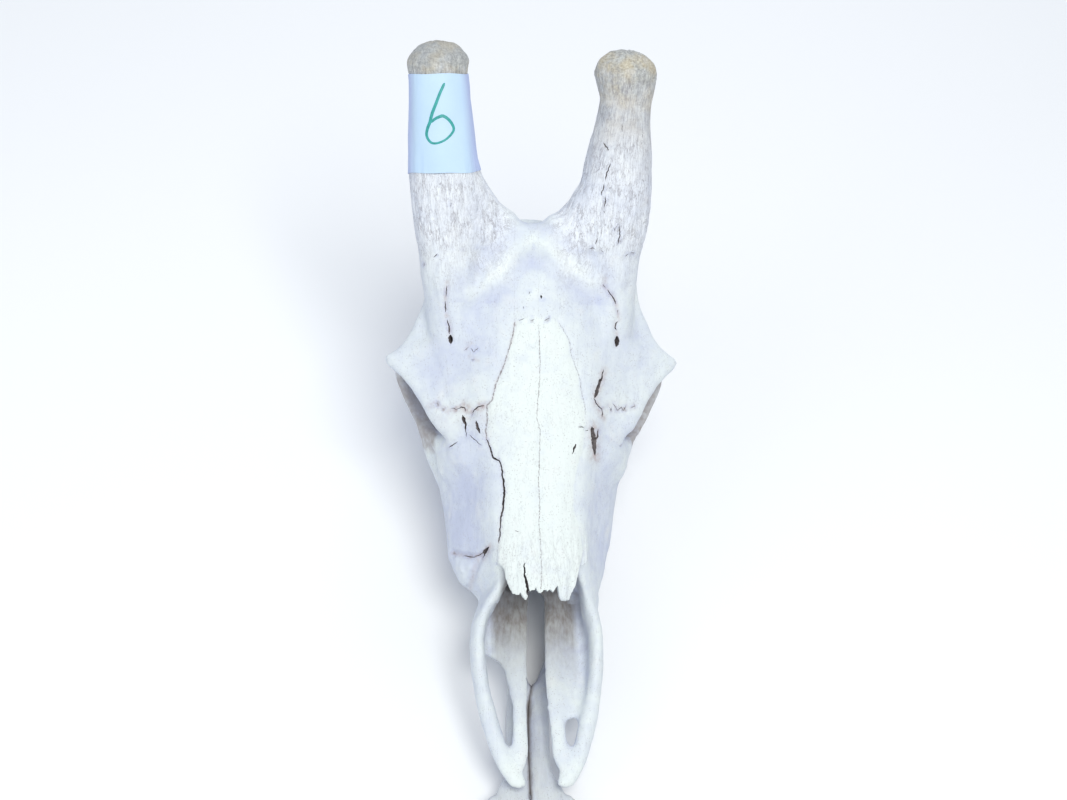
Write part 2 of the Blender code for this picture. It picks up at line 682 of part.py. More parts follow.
def make_jaw(side):
    """One half of the lower jaw."""
    body = tube("body", ((9, 4, -20), (8.5, 30, -24), (8.5, 60, -29), (9.2, 82, -33), (11.5, 102, -36),
                         (17, 121, -38), (26, 150, -38.5), (36.5, 190, -38), (45, 236, -40), (51, 290, -43),
                         (58, 340, -46), (64, 376, -46)),
                ((10, 6.5), (9.8, 9), (9.5, 11.5), (9.2, 12.5), (8.4, 13.5), (8, 14.5), (8.4, 15.5),
                 (9.5, 17), (11, 22), (12, 26.5), (11, 31), (8, 34)), side, around=20)
    chin = tube("chin", ((9, 30, -24), (10, 18, -21.8), (12, 9, -20), (14, 2, -19), (15, -5, -19)),
                ((9, 7), (10.5, 6.6), (12, 6.2), (14, 5.8), (16, 5.6)), side, up=(0, 0, 1))
    fan = tube("fan", ((2, -7, -19), (14, -6.5, -19), (24, -5.5, -18.5), (32, -3.5, -18)),
               ((5, 5.5), (5.5, 5.5), (5, 5), (4, 4.2)), side)
    blade = []
    for x, y_f, y_b, z in ((63, 344, 412, -76), (65, 342, 427, -62), (67, 346, 434, -38),
                           (69, 352, 435, -12), (70, 360, 434, 4), (71, 367, 434, 16),
                           (72, 373, 424, 22), (72.5, 378, 411, 34),
                           (73, 382, 406, 52), (73.5, 387, 405, 70), (74, 393, 404, 82)):
        mid, half = (y_f + y_b) / 2, (y_b - y_f) / 2
        thick = value(((-80, 6.5), (-60, 7.5), (-10, 6.0), (30, 4.8), (60, 3.6), (86, 2.6)), z)
        blade.append([(side * (x + thick * sin(2 * pi * k / 16)), mid - half * cos(2 * pi * k / 16), z)
                      for k in range(16)])
    ramus = loft("ramus", blade)
    heel = tube("heel", ((62, 345, -71), (63.5, 380, -75), (65, 404, -73), (67, 420, -60), (69, 427, -34)),
                ((8, 9), (7.5, 10), (7, 11), (6.5, 9), (6, 7)), side)
    neck = tube("neck", ((69, 430, -20), (71, 431, 4), (73, 433, 18), (74, 434, 25)),
                ((6, 7), (5.5, 8), (8, 7), (12, 6.5)), side, up=(0, 1, 0))
    head = tube("head", ((60, 436, 26), (74, 436, 27.5), (88, 434, 26.5)),
                ((7, 5), (8, 5.2), (6.5, 4.6)), side)
    bridge = ball("bridge", (3 * side, 90, -33.5), (8, 13, 9.5))
    half = join("jaw", [body, bridge, chin, fan, ramus, heel, neck, head])
    half = fuse(half, 1.7, 6, 1000)
    cut = box("cut", (-60, -80, -200), (GAP / 2, 105, 100)) if side > 0 else \
        box("cut", (-GAP / 2, -80, -200), (60, 105, 100))
    combine(half, cut, "DIFFERENCE")
    for cusp in lower_teeth(side) + front_teeth(side):
        combine(half, cusp, "UNION")
    cut = box("cut", (-60, -80, -200), (GAP / 2, 60, 100)) if side > 0 else \
        box("cut", (-GAP / 2, -80, -200), (60, 60, 100))
    combine(half, cut, "DIFFERENCE")
    half.name = "mandible_left" if side > 0 else "mandible_right"
    for v in half.data.vertices:
        v.co.x += value(JAW_SIDE_STEP, v.co.y)
    return largest(half)


def set_down(ob):
    """Turn the part to the pose it rests in and change to metres."""
    turn = Matrix.Rotation(radians(PITCH), 4, "X")
    place = Matrix.Translation((0, 0, -FLOOR_LEVEL))
    centre = Matrix.Translation((0, BACK_STEP, 0))
    ob.data.transform(Matrix.Scale(0.001, 4) @ centre @ place @ turn)


def flat_feet(ob):
    combine(ob, box("ground", (-1, -1, -1), (1, 1, 0)), "DIFFERENCE")
    return largest_metres(ob)


def largest_metres(ob):
    ob.data.transform(Matrix.Scale(1000, 4))
    largest(ob)
    ob.data.transform(Matrix.Scale(0.001, 4))
    return ob


def finish(ob, colour, rough):
    mat = bpy.data.materials.new(ob.name)
    mat.use_nodes = True
    bsdf = mat.node_tree.nodes["Principled BSDF"]
    bsdf.inputs["Base Color"].default_value = (*colour, 1)
    bsdf.inputs["Roughness"].default_value = rough
    bsdf.inputs["Metallic"].default_value = 0
    ob.data.materials.clear()
    ob.data.materials.append(mat)
    for face in ob.data.polygons:
        face.material_index = 0
        face.use_smooth = True


def main():
    clear_scene()
    skull = make_skull()
    bones = part_skull(skull)
    horns = [make_horn(1), make_horn(-1)]
    label = make_label()
    jaws = [make_jaw(1), make_jaw(-1)]
    for ob in bones + horns + [label] + jaws:
        set_down(ob)
    for ob in jaws:
        flat_feet(ob)
    for ob in bones + jaws:
        finish(ob, BONE, 0.6)
    for ob in horns:
        finish(ob, HORN_BONE, 0.75)
    finish(label, PAPER, 0.85)


main()
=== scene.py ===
import bpy
import bmesh
import numpy as np
from math import cos, sin, pi, radians, sqrt, atan2
from mathutils import Vector, Matrix, noise
from mathutils.bvhtree import BVHTree
from mathutils.kdtree import KDTree


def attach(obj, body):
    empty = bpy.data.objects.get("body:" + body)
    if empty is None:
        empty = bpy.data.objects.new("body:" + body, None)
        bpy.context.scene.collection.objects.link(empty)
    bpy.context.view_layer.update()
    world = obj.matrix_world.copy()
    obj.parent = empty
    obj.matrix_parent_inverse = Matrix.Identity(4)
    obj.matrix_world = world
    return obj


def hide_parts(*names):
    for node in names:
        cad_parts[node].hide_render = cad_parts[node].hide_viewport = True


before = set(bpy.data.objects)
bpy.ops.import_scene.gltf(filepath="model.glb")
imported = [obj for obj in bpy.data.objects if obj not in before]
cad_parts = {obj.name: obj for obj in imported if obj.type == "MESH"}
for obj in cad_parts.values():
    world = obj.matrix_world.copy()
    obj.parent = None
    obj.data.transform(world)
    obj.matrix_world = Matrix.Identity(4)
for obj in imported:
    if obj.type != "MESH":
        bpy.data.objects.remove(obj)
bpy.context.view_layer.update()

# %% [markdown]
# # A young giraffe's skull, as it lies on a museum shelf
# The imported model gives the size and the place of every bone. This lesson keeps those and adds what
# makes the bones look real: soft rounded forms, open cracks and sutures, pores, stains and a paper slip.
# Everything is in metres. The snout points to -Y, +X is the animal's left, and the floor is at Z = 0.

scene = bpy.context.scene

# %% [markdown]
# ## Camera, floor and light
# The skull is seen from above and in front, a little from its right, with the horns at the top of the
# picture. The camera was fitted to the outline once, so its place is given as numbers. The floor is a
# plain pale sheet, and three large soft lamps and a pale sky make the even light of a photo studio.


# %% Camera at the photograph's viewing angle
def make_camera():
    at = Vector((-0.170932, -0.782069, 1.21093))
    right = (0.991338, -0.071725, 0.110016)
    up = (-0.012228, 0.783651, 0.621081)
    back = (-0.130761, -0.617046, 0.775987)
    data = bpy.data.cameras.new("camera")
    data.sensor_width = 36
    data.lens = 52.518
    data.shift_x = -0.00595
    data.shift_y = -0.00127
    data.clip_start = 0.02
    ob = bpy.data.objects.new("camera", data)
    scene.collection.objects.link(ob)
    ob.matrix_world = Matrix([(right[i], up[i], back[i], at[i]) for i in range(3)] + [(0, 0, 0, 1)])
    scene.camera = ob
    print("camera", ob.name, "stands", round(at.length, 2), "m from the skull")


make_camera()


# %% Small helpers for objects
def pick(*obs):
    """Only these objects are selected, and the first is active."""
    bpy.ops.object.select_all(action="DESELECT")
    for ob in obs:
        ob.select_set(True)
    bpy.context.view_layer.objects.active = obs[0]


def apply_modifier(ob, kind, **settings):
    pick(ob)
    mod = ob.modifiers.new(kind.lower(), kind)
    for key, val in settings.items():
        setattr(mod, key, val)
    bpy.ops.object.modifier_apply(modifier=mod.name)


def triangles(ob):
    return sum(len(p.vertices) - 2 for p in ob.data.polygons)


# %% Floor and lamps
def make_floor():
    bpy.ops.object.select_all(action="DESELECT")
    bpy.ops.mesh.primitive_plane_add(size=14, location=(0, 0, -0.0002))
    floor = bpy.context.object
    floor.name = "floor"
    bpy.ops.object.transform_apply(location=True)
    mat = bpy.data.materials.new("pale_floor")
    mat.use_nodes = True
    shader = mat.node_tree.nodes["Principled BSDF"]
    shader.inputs["Base Color"].default_value = (0.93, 0.935, 0.94, 1)
    shader.inputs["Roughness"].default_value = 0.8
    shader.inputs["Specular IOR Level"].default_value = 0.2
    floor.data.materials.append(mat)


def make_lamp(name, at, target, size, power, colour):
    data = bpy.data.lights.new(name, "AREA")
    data.shape = "DISK"
    data.size = size
    data.energy = power
    data.color = colour
    ob = bpy.data.objects.new(name, data)
    scene.collection.objects.link(ob)
    ob.location = at
    ob.rotation_euler = (Vector(target) - Vector(at)).to_track_quat("-Z", "Y").to_euler()


def make_light():
    make_lamp("key_lamp", (0.25, -0.95, 2.4), (0, 0, 0.1), size=1.4, power=39, colour=(1.0, 1.0, 0.955))
    make_lamp("fill_lamp", (-1.8, -0.6, 1.4), (0, 0, 0.1), size=1.6, power=8, colour=(0.90, 0.94, 1.0))
    make_lamp("rim_lamp", (0.4, 1.9, 1.6), (0, 0, 0.15), size=1.4, power=9, colour=(0.92, 0.95, 1.0))
    world = bpy.data.worlds.new("studio")
    scene.world = world
    world.use_nodes = True
    sky = world.node_tree.nodes["Background"]
    sky.inputs["Color"].default_value = (0.82, 0.88, 0.985, 1)
    sky.inputs["Strength"].default_value = 0.55
    scene.view_settings.view_transform = "Standard"


make_floor()
make_light()

# %% [markdown]
# ## One skin over all the fixed bones
# On the real skull the bones are knitted so tightly that most joints can't be seen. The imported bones
# are faceted and 0.3 mm apart. Box modelling thirteen bones by hand would lose their shapes,
# so copies of them are swelled a hair, joined, and wrapped in one even skin with a voxel Remesh. The
# skin has one point about every 1.35 mm, which is fine enough to be shaped like clay.

# %% Joining copies of the bones and wrapping them
SKULL_NODES = ("cranium", "lacrimal_left", "lacrimal_right", "nasal_left", "nasal_right", "maxilla_left",
               "maxilla_right", "premaxilla_left", "premaxilla_right", "ossicone_left", "ossicone_right")


def bone_copy(node, swell):
    """A merged copy of a packed bone, pushed out along its normals."""
    ob = bpy.data.objects.new(node + "_copy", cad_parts[node].data.copy())
    scene.collection.objects.link(ob)
    ob.data.materials.clear()
    bm = bmesh.new()
    bm.from_mesh(ob.data)
    bmesh.ops.remove_doubles(bm, verts=bm.verts, dist=1e-6)
    bm.normal_update()
    for v in bm.verts:
        v.co += v.normal * swell
    bm.to_mesh(ob.data)
    bm.free()
    return ob


def wrap(nodes, name, voxel, swell):
    copies = [bone_copy(n, swell) for n in nodes]
    pick(*copies)
    bpy.ops.object.join()
    ob = bpy.context.object
    ob.name = name
    apply_modifier(ob, "REMESH", mode="VOXEL", voxel_size=voxel)
    print(name, len(ob.data.vertices), "points")
    return ob


SKIN_SPACING = 0.00135
SKIN_SWELL = 0.0004
skin = wrap(SKULL_NODES, "skin", SKIN_SPACING, SKIN_SWELL)

# %% [markdown]
# ## Rounding the facets away
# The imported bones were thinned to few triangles, so broad curves show flats. Plain smoothing would
# shrink thin edges such as the rim of the eye sockets. Taubin smoothing takes one step in and a
# slightly larger step out, which irons out short bumps but keeps the volume. It works fully where the
# bone is thick and hardly at all where it is thin, and thickness is found by sending a ray inwards.


# %% Reading and writing points with numpy
def get_points(ob):
    co = np.empty(len(ob.data.vertices) * 3)
    ob.data.vertices.foreach_get("co", co)
    return co.reshape(-1, 3)


def set_points(ob, co):
    ob.data.vertices.foreach_set("co", co.ravel())
    ob.data.update()


def get_normals(ob):
    no = np.empty(len(ob.data.vertices) * 3)
    ob.data.vertex_normals.foreach_get("vector", no)
    return no.reshape(-1, 3)


def get_edges(ob):
    ed = np.empty(len(ob.data.edges) * 2, dtype=np.int64)
    ob.data.edges.foreach_get("vertices", ed)
    return ed.reshape(-1, 2)


def neighbour_mean(values, edges, count):
    """The mean of each point's neighbours."""
    total = np.zeros_like(values)
    a, b = edges[:, 0], edges[:, 1]
    if values.ndim == 1:
        total = np.bincount(a, values[b], len(values)) + np.bincount(b, values[a], len(values))
        return total / count
    for k in range(values.shape[1]):
        total[:, k] = (np.bincount(a, values[b, k], len(values)) + np.bincount(b, values[a, k], len(values)))
    return total / count[:, None]


# %% How thick the bone is, and ironing
def tree_of(ob):
    verts = [v.co for v in ob.data.vertices]
    return BVHTree.FromPolygons(verts, [tuple(p.vertices) for p in ob.data.polygons])


def thickness(ob, most):
    """How thick the bone is under each point, up to a limit."""
    tree = tree_of(ob)
    co, no = get_points(ob), get_normals(ob)
    out = np.full(len(co), most)
    for i in range(len(co)):
        n = Vector(no[i])
        hit = tree.ray_cast(Vector(co[i]) - n * 0.0003, -n, most)
        if hit[0] is not None:
            out[i] = hit[3]
    return out


def iron(ob, rounds, thin, thick):
    """Taubin smoothing, weaker where the bone is thin."""
    co = get_points(ob)
    ed = get_edges(ob)
    count = np.maximum(np.bincount(ed.ravel(), minlength=len(co)), 1).astype(float)
    deep = thickness(ob, thick * 1.2)
    weight = np.clip((deep - thin) / (thick - thin), 0.06, 1.0)
    for k in range(6):
        weight = 0.5 * weight + 0.5 * neighbour_mean(weight, ed, count)
    for k in range(rounds):
        co = co + 0.6 * weight[:, None] * (neighbour_mean(co, ed, count) - co)
        co = co - 0.615 * weight[:, None] * (neighbour_mean(co, ed, count) - co)
    for k in range(3):
        co = co + 0.4 * np.maximum(weight, 0.35)[:, None] * (neighbour_mean(co, ed, count) - co)
    set_points(ob, co)


iron(skin, rounds=60, thin=0.004, thick=0.013)
print("skin ironed", triangles(skin), "triangles")

# %% [markdown]
# ## A map of the face
# Details of the forehead and nose are easiest to place on a flat map laid over the face. The map's
# plane tilts up by 29 degrees: u runs to the animal's left and v runs from the nose up to the horns,
# both in millimetres. A detail at (u, v) is dropped onto the skin along the plane's normal.

# %% The map's axes
TILT = radians(29)
MAP_ORIGIN = np.array((0.0, -0.130, 0.118))
MAP_U = np.array((1.0, 0.0, 0.0))
MAP_V = np.array((0.0, cos(TILT), sin(TILT)))
MAP_N = np.array((0.0, -sin(TILT), cos(TILT)))


def to_map(co):
    """(u, v, height) in millimetres of points in metres."""
    d = (co - MAP_ORIGIN) * 1000
    return d @ MAP_U, d @ MAP_V, d @ MAP_N


def from_map(u, v, n=0.0):
    return MAP_ORIGIN + (MAP_U * u + MAP_V * v + MAP_N * n) * 0.001


def drop(tree, u, v):
    """The skin's point and normal under (u, v), or None."""
    hit = tree.ray_cast(Vector(from_map(u, v, 140)), Vector(-MAP_N))
    return (hit[0], hit[1]) if hit[0] is not None else None


# %% Lines traced on the map, in millimetres
NASAL_EDGE_RIGHT_SIDE = ((-21, 238), (-23, 226), (-28, 208), (-32, 197), (-36, 188), (-38, 181), (-40, 172),
                         (-44, 168), (-44, 156), (-45, 146), (-44, 140), (-41, 131), (-39, 124), (-34, 121),
                         (-32, 115), (-31, 105), (-30, 95), (-31, 84), (-33, 72), (-34, 60), (-36, 48))
NASAL_EDGE_LEFT_SIDE = ((15, 240), (20, 232), (25, 224), (27, 211), (30, 202), (34, 193), (36, 179),
                        (39, 168), (39, 160), (40, 151), (38, 135), (33, 118), (29, 101), (28, 84),
                        (31, 72), (34, 59), (36, 47))
MIDLINE = ((-1, 231), (0, 202), (-1, 179), (-2, 171), (-3, 157), (0, 145), (-1, 123), (-2, 104), (-1, 88),
           (-2, 68), (-1, 50), (-1, 30), (-2, 14))
TEAR_SUTURE_RIGHT_SIDE = ((-91, 171), (-84, 173), (-83, 169), (-79, 168), (-75, 165), (-73, 168),
                          (-68, 167), (-63, 172), (-61, 160), (-56, 161), (-52, 168), (-49, 168),
                          (-44, 168))
TEAR_SUTURE_LEFT_SIDE = ((50, 171), (55, 167), (62, 168), (62, 171), (64, 167), (66, 173), (69, 169),
                         (71, 168), (74, 171), (76, 168), (78, 172), (80, 170), (84, 171), (87, 173))
CHEEK_SUTURE_RIGHT_SIDE = ((-61, 144), (-65, 141), (-70, 138), (-76, 135))
CHEEK_SUTURE_LEFT_SIDE = ((40, 147), (43, 148), (57, 147), (62, 143), (68, 139), (75, 138))
GROOVE_RIGHT_SIDE = ((-78, 271), (-79, 260), (-79, 255), (-79, 249), (-78, 245), (-76, 237), (-75, 230),
                     (-74, 225))
GROOVE_LEFT_SIDE = ((57, 277), (55, 272), (60, 267), (65, 261), (67, 257), (69, 251), (70, 245), (67, 240),
                    (68, 235), (69, 231), (69, 223))
HORN_SUTURE_RIGHT_SIDE = ((-98, 287), (-94, 290), (-92, 291), (-88, 293), (-84, 296), (-79, 292),
                          (-75, 295))
HORN_SUTURE_LEFT_SIDE = ((42, 301), (45, 302), (49, 300), (53, 299), (58, 297), (61, 296), (64, 291),
                         (71, 294), (77, 299), (82, 300), (89, 302))
print("map lines ready")

# %% [markdown]
# ## The horns' axes
# Each horn leans back and a little outwards along its own axis. A point near a horn is described by s,
# its place along the axis (0 at the root, 1 at the tip), the angle round it and the distance from it.
# Furrows, grain and the tan colour of the tips all follow these numbers.

# %% Horn axes
PITCH = radians(6.5)
BACK_STEP = 252.2
RISE = 37.2


def from_skull(p):
    """A point in the skull's own frame in millimetres, given in the model's frame in metres."""
    x, y, z = p
    forward = y * cos(PITCH) - z * sin(PITCH)
    upward = y * sin(PITCH) + z * cos(PITCH)
    return np.array((x, forward - BACK_STEP, upward + RISE)) * 0.001


LEAN = radians(41.3)
ROOT_Y, ROOT_Z = 425, 172


def horn_axis(root_x, tip_x, length):
    """The middle of a horn's root and of its tip."""
    return (from_skull((root_x, ROOT_Y, ROOT_Z)),
            from_skull((tip_x, ROOT_Y + length * cos(LEAN), ROOT_Z + length * sin(LEAN))))


HORN_AXES = {"ossicone_left": horn_axis(64, 75, 163.5), "ossicone_right": horn_axis(-77, -90, 164.5)}


def horn_place(co, name):
    """s along the horn, the angle round it and the distance from its axis in millimetres."""
    foot, tip = HORN_AXES[name]
    along = tip - foot
    length = np.linalg.norm(along)
    along = along / length
    across = np.cross((0, 0, 1), along)
    across = across / np.linalg.norm(across)
    rise = np.cross(along, across)
    d = co - foot
    s = d @ along / length
    a, b = d @ across, d @ rise
    return s, np.arctan2(b, a), np.hypot(a, b) * 1000


def horn_reach(co, name):
    """s along the horn and the distance from its axis in millimetres."""
    s, turn, r = horn_place(co, name)
    return s, r


# %% [markdown]
# ## Shaping the face
# The forehead rises in a low chevron between the horns with a shallow hollow under its peak, the roots
# of the horns are furrowed lengthwise, and the cheeks and brows are a little uneven. Sculpting strokes
# would do this by hand. Here each stroke is a soft bump or dent written as a function of the map.


# %% Sculpting strokes
def line_distance(u, v, line):
    """Distance of map points from a broken line, and how far along it they are (0 to 1)."""
    best = np.full(len(u), 1e9)
    where = np.zeros(len(u))
    lengths = [sqrt((b[0] - a[0]) ** 2 + (b[1] - a[1]) ** 2) for a, b in zip(line, line[1:])]
    total = sum(lengths)
    run = 0.0
    for a, b, ln in zip(line, line[1:], lengths):
        du, dv = b[0] - a[0], b[1] - a[1]
        t = np.clip(((u - a[0]) * du + (v - a[1]) * dv) / max(ln * ln, 1e-9), 0, 1)
        d = np.hypot(u - a[0] - t * du, v - a[1] - t * dv)
        closer = d < best
        best[closer] = d[closer]
        where[closer] = ((run + t * ln) / total)[closer]
        run += ln
    return best, where


def blob(u, v, cu, cv, ru, rv, turn=0.0):
    c, s = cos(radians(turn)), sin(radians(turn))
    a = ((u - cu) * c + (v - cv) * s) / ru
    b = (-(u - cu) * s + (v - cv) * c) / rv
    return np.exp(-(a * a + b * b))


CHEVRON = ((-56, 262), (-33, 283), (-20, 298), (-6, 309), (10, 300), (28, 288), (46, 274))
CHEEK_LEDGE = ((-69, 48), (-61, 45), (-53, 43), (-47, 45), (-42, 48))
LUMP_FURROW = ((-56, 12), (-54, 19), (-52, 32), (-49, 42))
# places across the map of the two fillets where the saddle meets the horns' roots
SADDLE_CORNERS = (-23, 12)


def fine_noise(co, scale, seed=0.0, stretch=(1, 1, 1)):
    """Perlin noise at each point: scale is the size of a bump in millimetres."""
    k = 1000.0 / scale
    pts = co * k * np.array(stretch) + seed
    return np.array([noise.noise(p) for p in pts.tolist()])


# %% Strokes on the forehead, brows, cheeks and nose
FACE_STROKES = (
    # height, place on the map, size, turn in degrees
    (-3.2, -6, 289, 17, 10, 0), (-1.7, -36, 262, 17, 9, 32), (-1.5, 30, 266, 17, 9, -30),
    (-1.3, -44, 240, 18, 26, 20), (-1.3, 44, 242, 18, 26, -20), (1.3, -3, 262, 22, 13, 0),
    (-1.6, -72, 212, 15, 22, -10), (-1.2, 72, 212, 15, 22, 10), (0.9, -62, 188, 20, 10, 0),
    (0.8, 64, 190, 20, 10, 0), (-1.5, -56, 108, 10, 26, -6), (-1.7, 52, 92, 9, 30, 6),
    (0.7, -15, 90, 11, 80, 0), (0.7, 13, 90, 11, 80, 0),
)
SUTURES = (TEAR_SUTURE_RIGHT_SIDE, TEAR_SUTURE_LEFT_SIDE, CHEEK_SUTURE_RIGHT_SIDE, CHEEK_SUTURE_LEFT_SIDE)


# %% Strokes on the face
def shape_face(ob):
    co, no = get_points(ob), get_normals(ob)
    u, v, n = to_map(co)
    facing = np.clip((no @ MAP_N) * 1.6, 0, 1) * (n > -70)
    d = np.zeros(len(co))
    ridge = line_distance(u, v, CHEVRON)[0]
    d += 2.3 * np.exp(-(ridge / 7.5) ** 2)
    for height, cu, cv, ru, rv, turn in FACE_STROKES:
        d += height * blob(u, v, cu, cv, ru, rv, turn)
    middle = line_distance(u, v, MIDLINE)[0]
    d -= 0.8 * np.exp(-(middle / 3.0) ** 2)
    ledge = line_distance(u, v, CHEEK_LEDGE)[0]
    d -= 2.4 * np.exp(-(ledge / 2.4) ** 2)
    furrow = line_distance(u, v, LUMP_FURROW)[0]
    d -= 3.0 * np.exp(-(furrow / 2.6) ** 2)
    rough = fine_noise(co, 5.0, 6.1)
    d += (2.2 + 1.6 * rough) * (blob(u, v, -63, 34, 8, 7) + 0.7 * blob(u, v, -61, 22, 6, 8))
    grain = fine_noise(np.stack([u, n, v * 0.2], axis=1) * 0.001, 3.6, 2.4)
    d += 0.8 * grain * np.clip((66 - v) / 24, 0, 1) * (np.abs(u) < 36) * (n > -12)
    for line in (NASAL_EDGE_RIGHT_SIDE, NASAL_EDGE_LEFT_SIDE):
        edge = line_distance(u, v, line)[0]
        d -= 0.55 * np.exp(-(edge / 3.0) ** 2)
    for line in SUTURES:
        edge = line_distance(u, v, line)[0]
        d -= 0.5 * np.exp(-(edge / 2.6) ** 2)
        d += 0.5 * np.exp(-((edge - 5) / 3.0) ** 2)
    for line in (GROOVE_RIGHT_SIDE, GROOVE_LEFT_SIDE):
        edge, where = line_distance(u, v, line)
        d -= (0.6 + 1.1 * where) * np.exp(-(edge / 2.8) ** 2)
    d *= facing
    for corner in SADDLE_CORNERS:
        d += 4.2 * blob(u, v, corner, 330, 8, 14) * (n > -60)
    near_horn = np.zeros(len(co))
    for name in HORN_AXES:
        s, r = horn_reach(co, name)
        near_horn = np.maximum(near_horn, np.clip((s + 0.34) / 0.26, 0, 1) * np.clip((74 - r) / 22, 0, 1))
    map_pts = np.stack([u, n, v * 0.3], axis=1) * 0.001
    d += (0.32 + 0.15 * near_horn) * fine_noise(map_pts, 5.5, 8.8)
    d += 0.45 * fine_noise(co, 26, 3.1) + 0.20 * fine_noise(co, 8, 7.7) + 0.09 * fine_noise(co, 3.2, 1.3)
    co = co + no * (d * 0.001)[:, None]
    set_points(ob, co)


# %% Melting the creases
def patch_weight(ob, cu, cv, ru, rv):
    """1 inside an oval of the map, falling to 0 outside it."""
    u, v, n = to_map(get_points(ob))
    facing = (get_normals(ob) @ MAP_N) > -0.2
    return np.clip(1.8 - 1.3 * np.hypot((u - cu) / ru, (v - cv) / rv), 0, 1) * (n > -62) * facing


def root_weight(ob, name):
    """1 in a band round a horn's root, falling to 0 above and below it."""
    s, r = horn_reach(get_points(ob), name)
    return np.exp(-((s + 0.03) / 0.09) ** 2) * (r < 75)


def melt(ob, weight, rounds):
    """Plain smoothing of one patch, which spreads a bump over its surroundings."""
    co = get_points(ob)
    weight = np.where(weight > 0.01, weight, 0)
    ed = get_edges(ob)
    ed = ed[(weight[ed[:, 0]] > 0) | (weight[ed[:, 1]] > 0)]
    count = np.maximum(np.bincount(ed.ravel(), minlength=len(co)), 1).astype(float)
    for k in range(rounds):
        co = co + 0.7 * weight[:, None] * (neighbour_mean(co, ed, count) - co)
    set_points(ob, co)


MELTED_PATCHES = (
    # both cheeks and the saddle between the horns: place on the map, size
    (-66, 122, 22, 22), (70, 124, 22, 22), (-3, 330, 56, 20),
)
for patch in MELTED_PATCHES:
    melt(skin, patch_weight(skin, *patch), rounds=140)
for horn in HORN_AXES:
    melt(skin, root_weight(skin, horn), rounds=50)
shape_face(skin)
print("face shaped")


# %% [markdown]
# ## The horns' own surface
# Young giraffes' horns are bone under furry skin. Cleaned, they show lengthwise furrows near the base,
# a porous, knobbly tan top and a rough swollen root. Combed strokes would be slow to sculpt, so noise
# that is stretched along the axis cuts the furrows.


# %% Strokes along the horns
def shape_horns(ob):
    co, no = get_points(ob), get_normals(ob)
    d = np.zeros(len(co))
    for name in HORN_AXES:
        s, turn, r = horn_place(co, name)
        near = np.nonzero((s > -0.3) & (s < 1.1) & (r < 75))[0]
        sn, tn, rn = s[near], turn[near], r[near]
        side = 1.0 if name == "ossicone_left" else 2.0
        pts = np.stack([np.cos(tn) * 27, np.sin(tn) * 27, sn * 164], axis=1) * 0.001
        body = np.clip((sn + 0.06) / 0.14, 0, 1) * (rn < 62)
        furrow = np.abs(fine_noise(pts, 4.6, side * 9.1, (1, 1, 0.16)))
        furrow = -np.exp(-(furrow / 0.075) ** 2)
        root = np.exp(-((sn - 0.10) / 0.20) ** 2)
        wrinkle = fine_noise(pts, 7.0, side * 3.3, (1, 1, 0.22))
        knob = np.clip((sn - 0.78) / 0.08, 0, 1)
        pores = fine_noise(pts, 2.6, side * 5.5)
        lumps = fine_noise(pts, 6.5, side * 2.2)
        waves = fine_noise(pts, 17.0, side * 1.7, (1, 1, 0.6))
        body = body * (1 - knob)
        dn = body * (0.95 * furrow * (0.35 + root) + 0.75 * wrinkle * (0.3 + root) + 0.7 * waves)
        dn += knob * (0.75 * lumps + 0.6 * np.minimum(pores, 0.12))
        d[near] += dn
    co = co + no * (d * 0.001)[:, None]
    set_points(ob, co)


shape_horns(skin)
whole_skin = skin.data.copy()
print("horns shaped")

# %% [markdown]
# ## Cracks and open sutures
# The dark hairlines of a dried skull are real gaps, a few tenths of a millimetre to 5 mm wide. Paint
# would look flat in raking light, so each is cut with a thin wedge that follows the surface. The wedges
# carry a second material, and the Boolean gives it to the walls that it cuts; that material paints the
# walls dark, as shade inside the gap. Where a gap widens, the wedge is wider there. The three long seams
# of the nose are shut and finer than the skin's points, so they aren't cut: the bone material draws them
# later.


# %% Making a wedge along a line on the surface
SLOTS = ("bone", "crack", "hairline")
CRACK_STEP = 1.1
CRACK_SWAY = 0.35


def line_points(line, step):
    """Even steps along a broken line."""
    pts = [np.array(p, float) for p in line]
    out = []
    for a, b in zip(pts, pts[1:]):
        count = max(1, int(round(np.linalg.norm(b - a) / step)))
        for k in range(count):
            out.append(a + (b - a) * k / count)
    out.append(pts[-1])
    return out


def even_normals(rail, reach=4):
    """The rail with each normal replaced by the mean of its neighbours', so that the blade doesn't twist."""
    out = []
    for i, (p, nrm) in enumerate(rail):
        total = Vector()
        for q, other in rail[max(0, i - reach):i + reach + 1]:
            total += other
        out.append((p, total.normalized()))
    return out


def wedge(bm, rail, widths, depths):
    """A closed blade along a rail of (point, normal) pairs, with its edge below the surface."""
    rail = even_normals(rail)
    rings = []
    n = len(rail)
    for i, (p, nrm) in enumerate(rail):
        ahead = rail[min(i + 1, n - 1)][0] - rail[max(i - 1, 0)][0]
        side = ahead.cross(nrm)
        if side.length < 1e-9:
            continue
        side.normalize()
        w, d = widths[i] * 0.0005, depths[i] * 0.001
        top = p + nrm * 0.0012
        low = p - nrm * (d * 0.6)
        ring = (top + side * (w * 1.5), top - side * (w * 1.5), low - side * (w * 0.7), p - nrm * d,
                low + side * (w * 0.7))
        rings.append([bm.verts.new(q) for q in ring])
    for a, b in zip(rings, rings[1:]):
        for k in range(5):
            j = (k + 1) % 5
            bm.faces.new((a[k], a[j], b[j], b[k]))
    bm.faces.new(rings[0])
    bm.faces.new(list(reversed(rings[-1])))


def wander(p, size, seed):
    """A smooth random step for a place on the map."""
    return np.array((noise.noise((p[0] * size, p[1] * size, seed)),
                     noise.noise((p[1] * size, p[0] * size, seed + 5))))


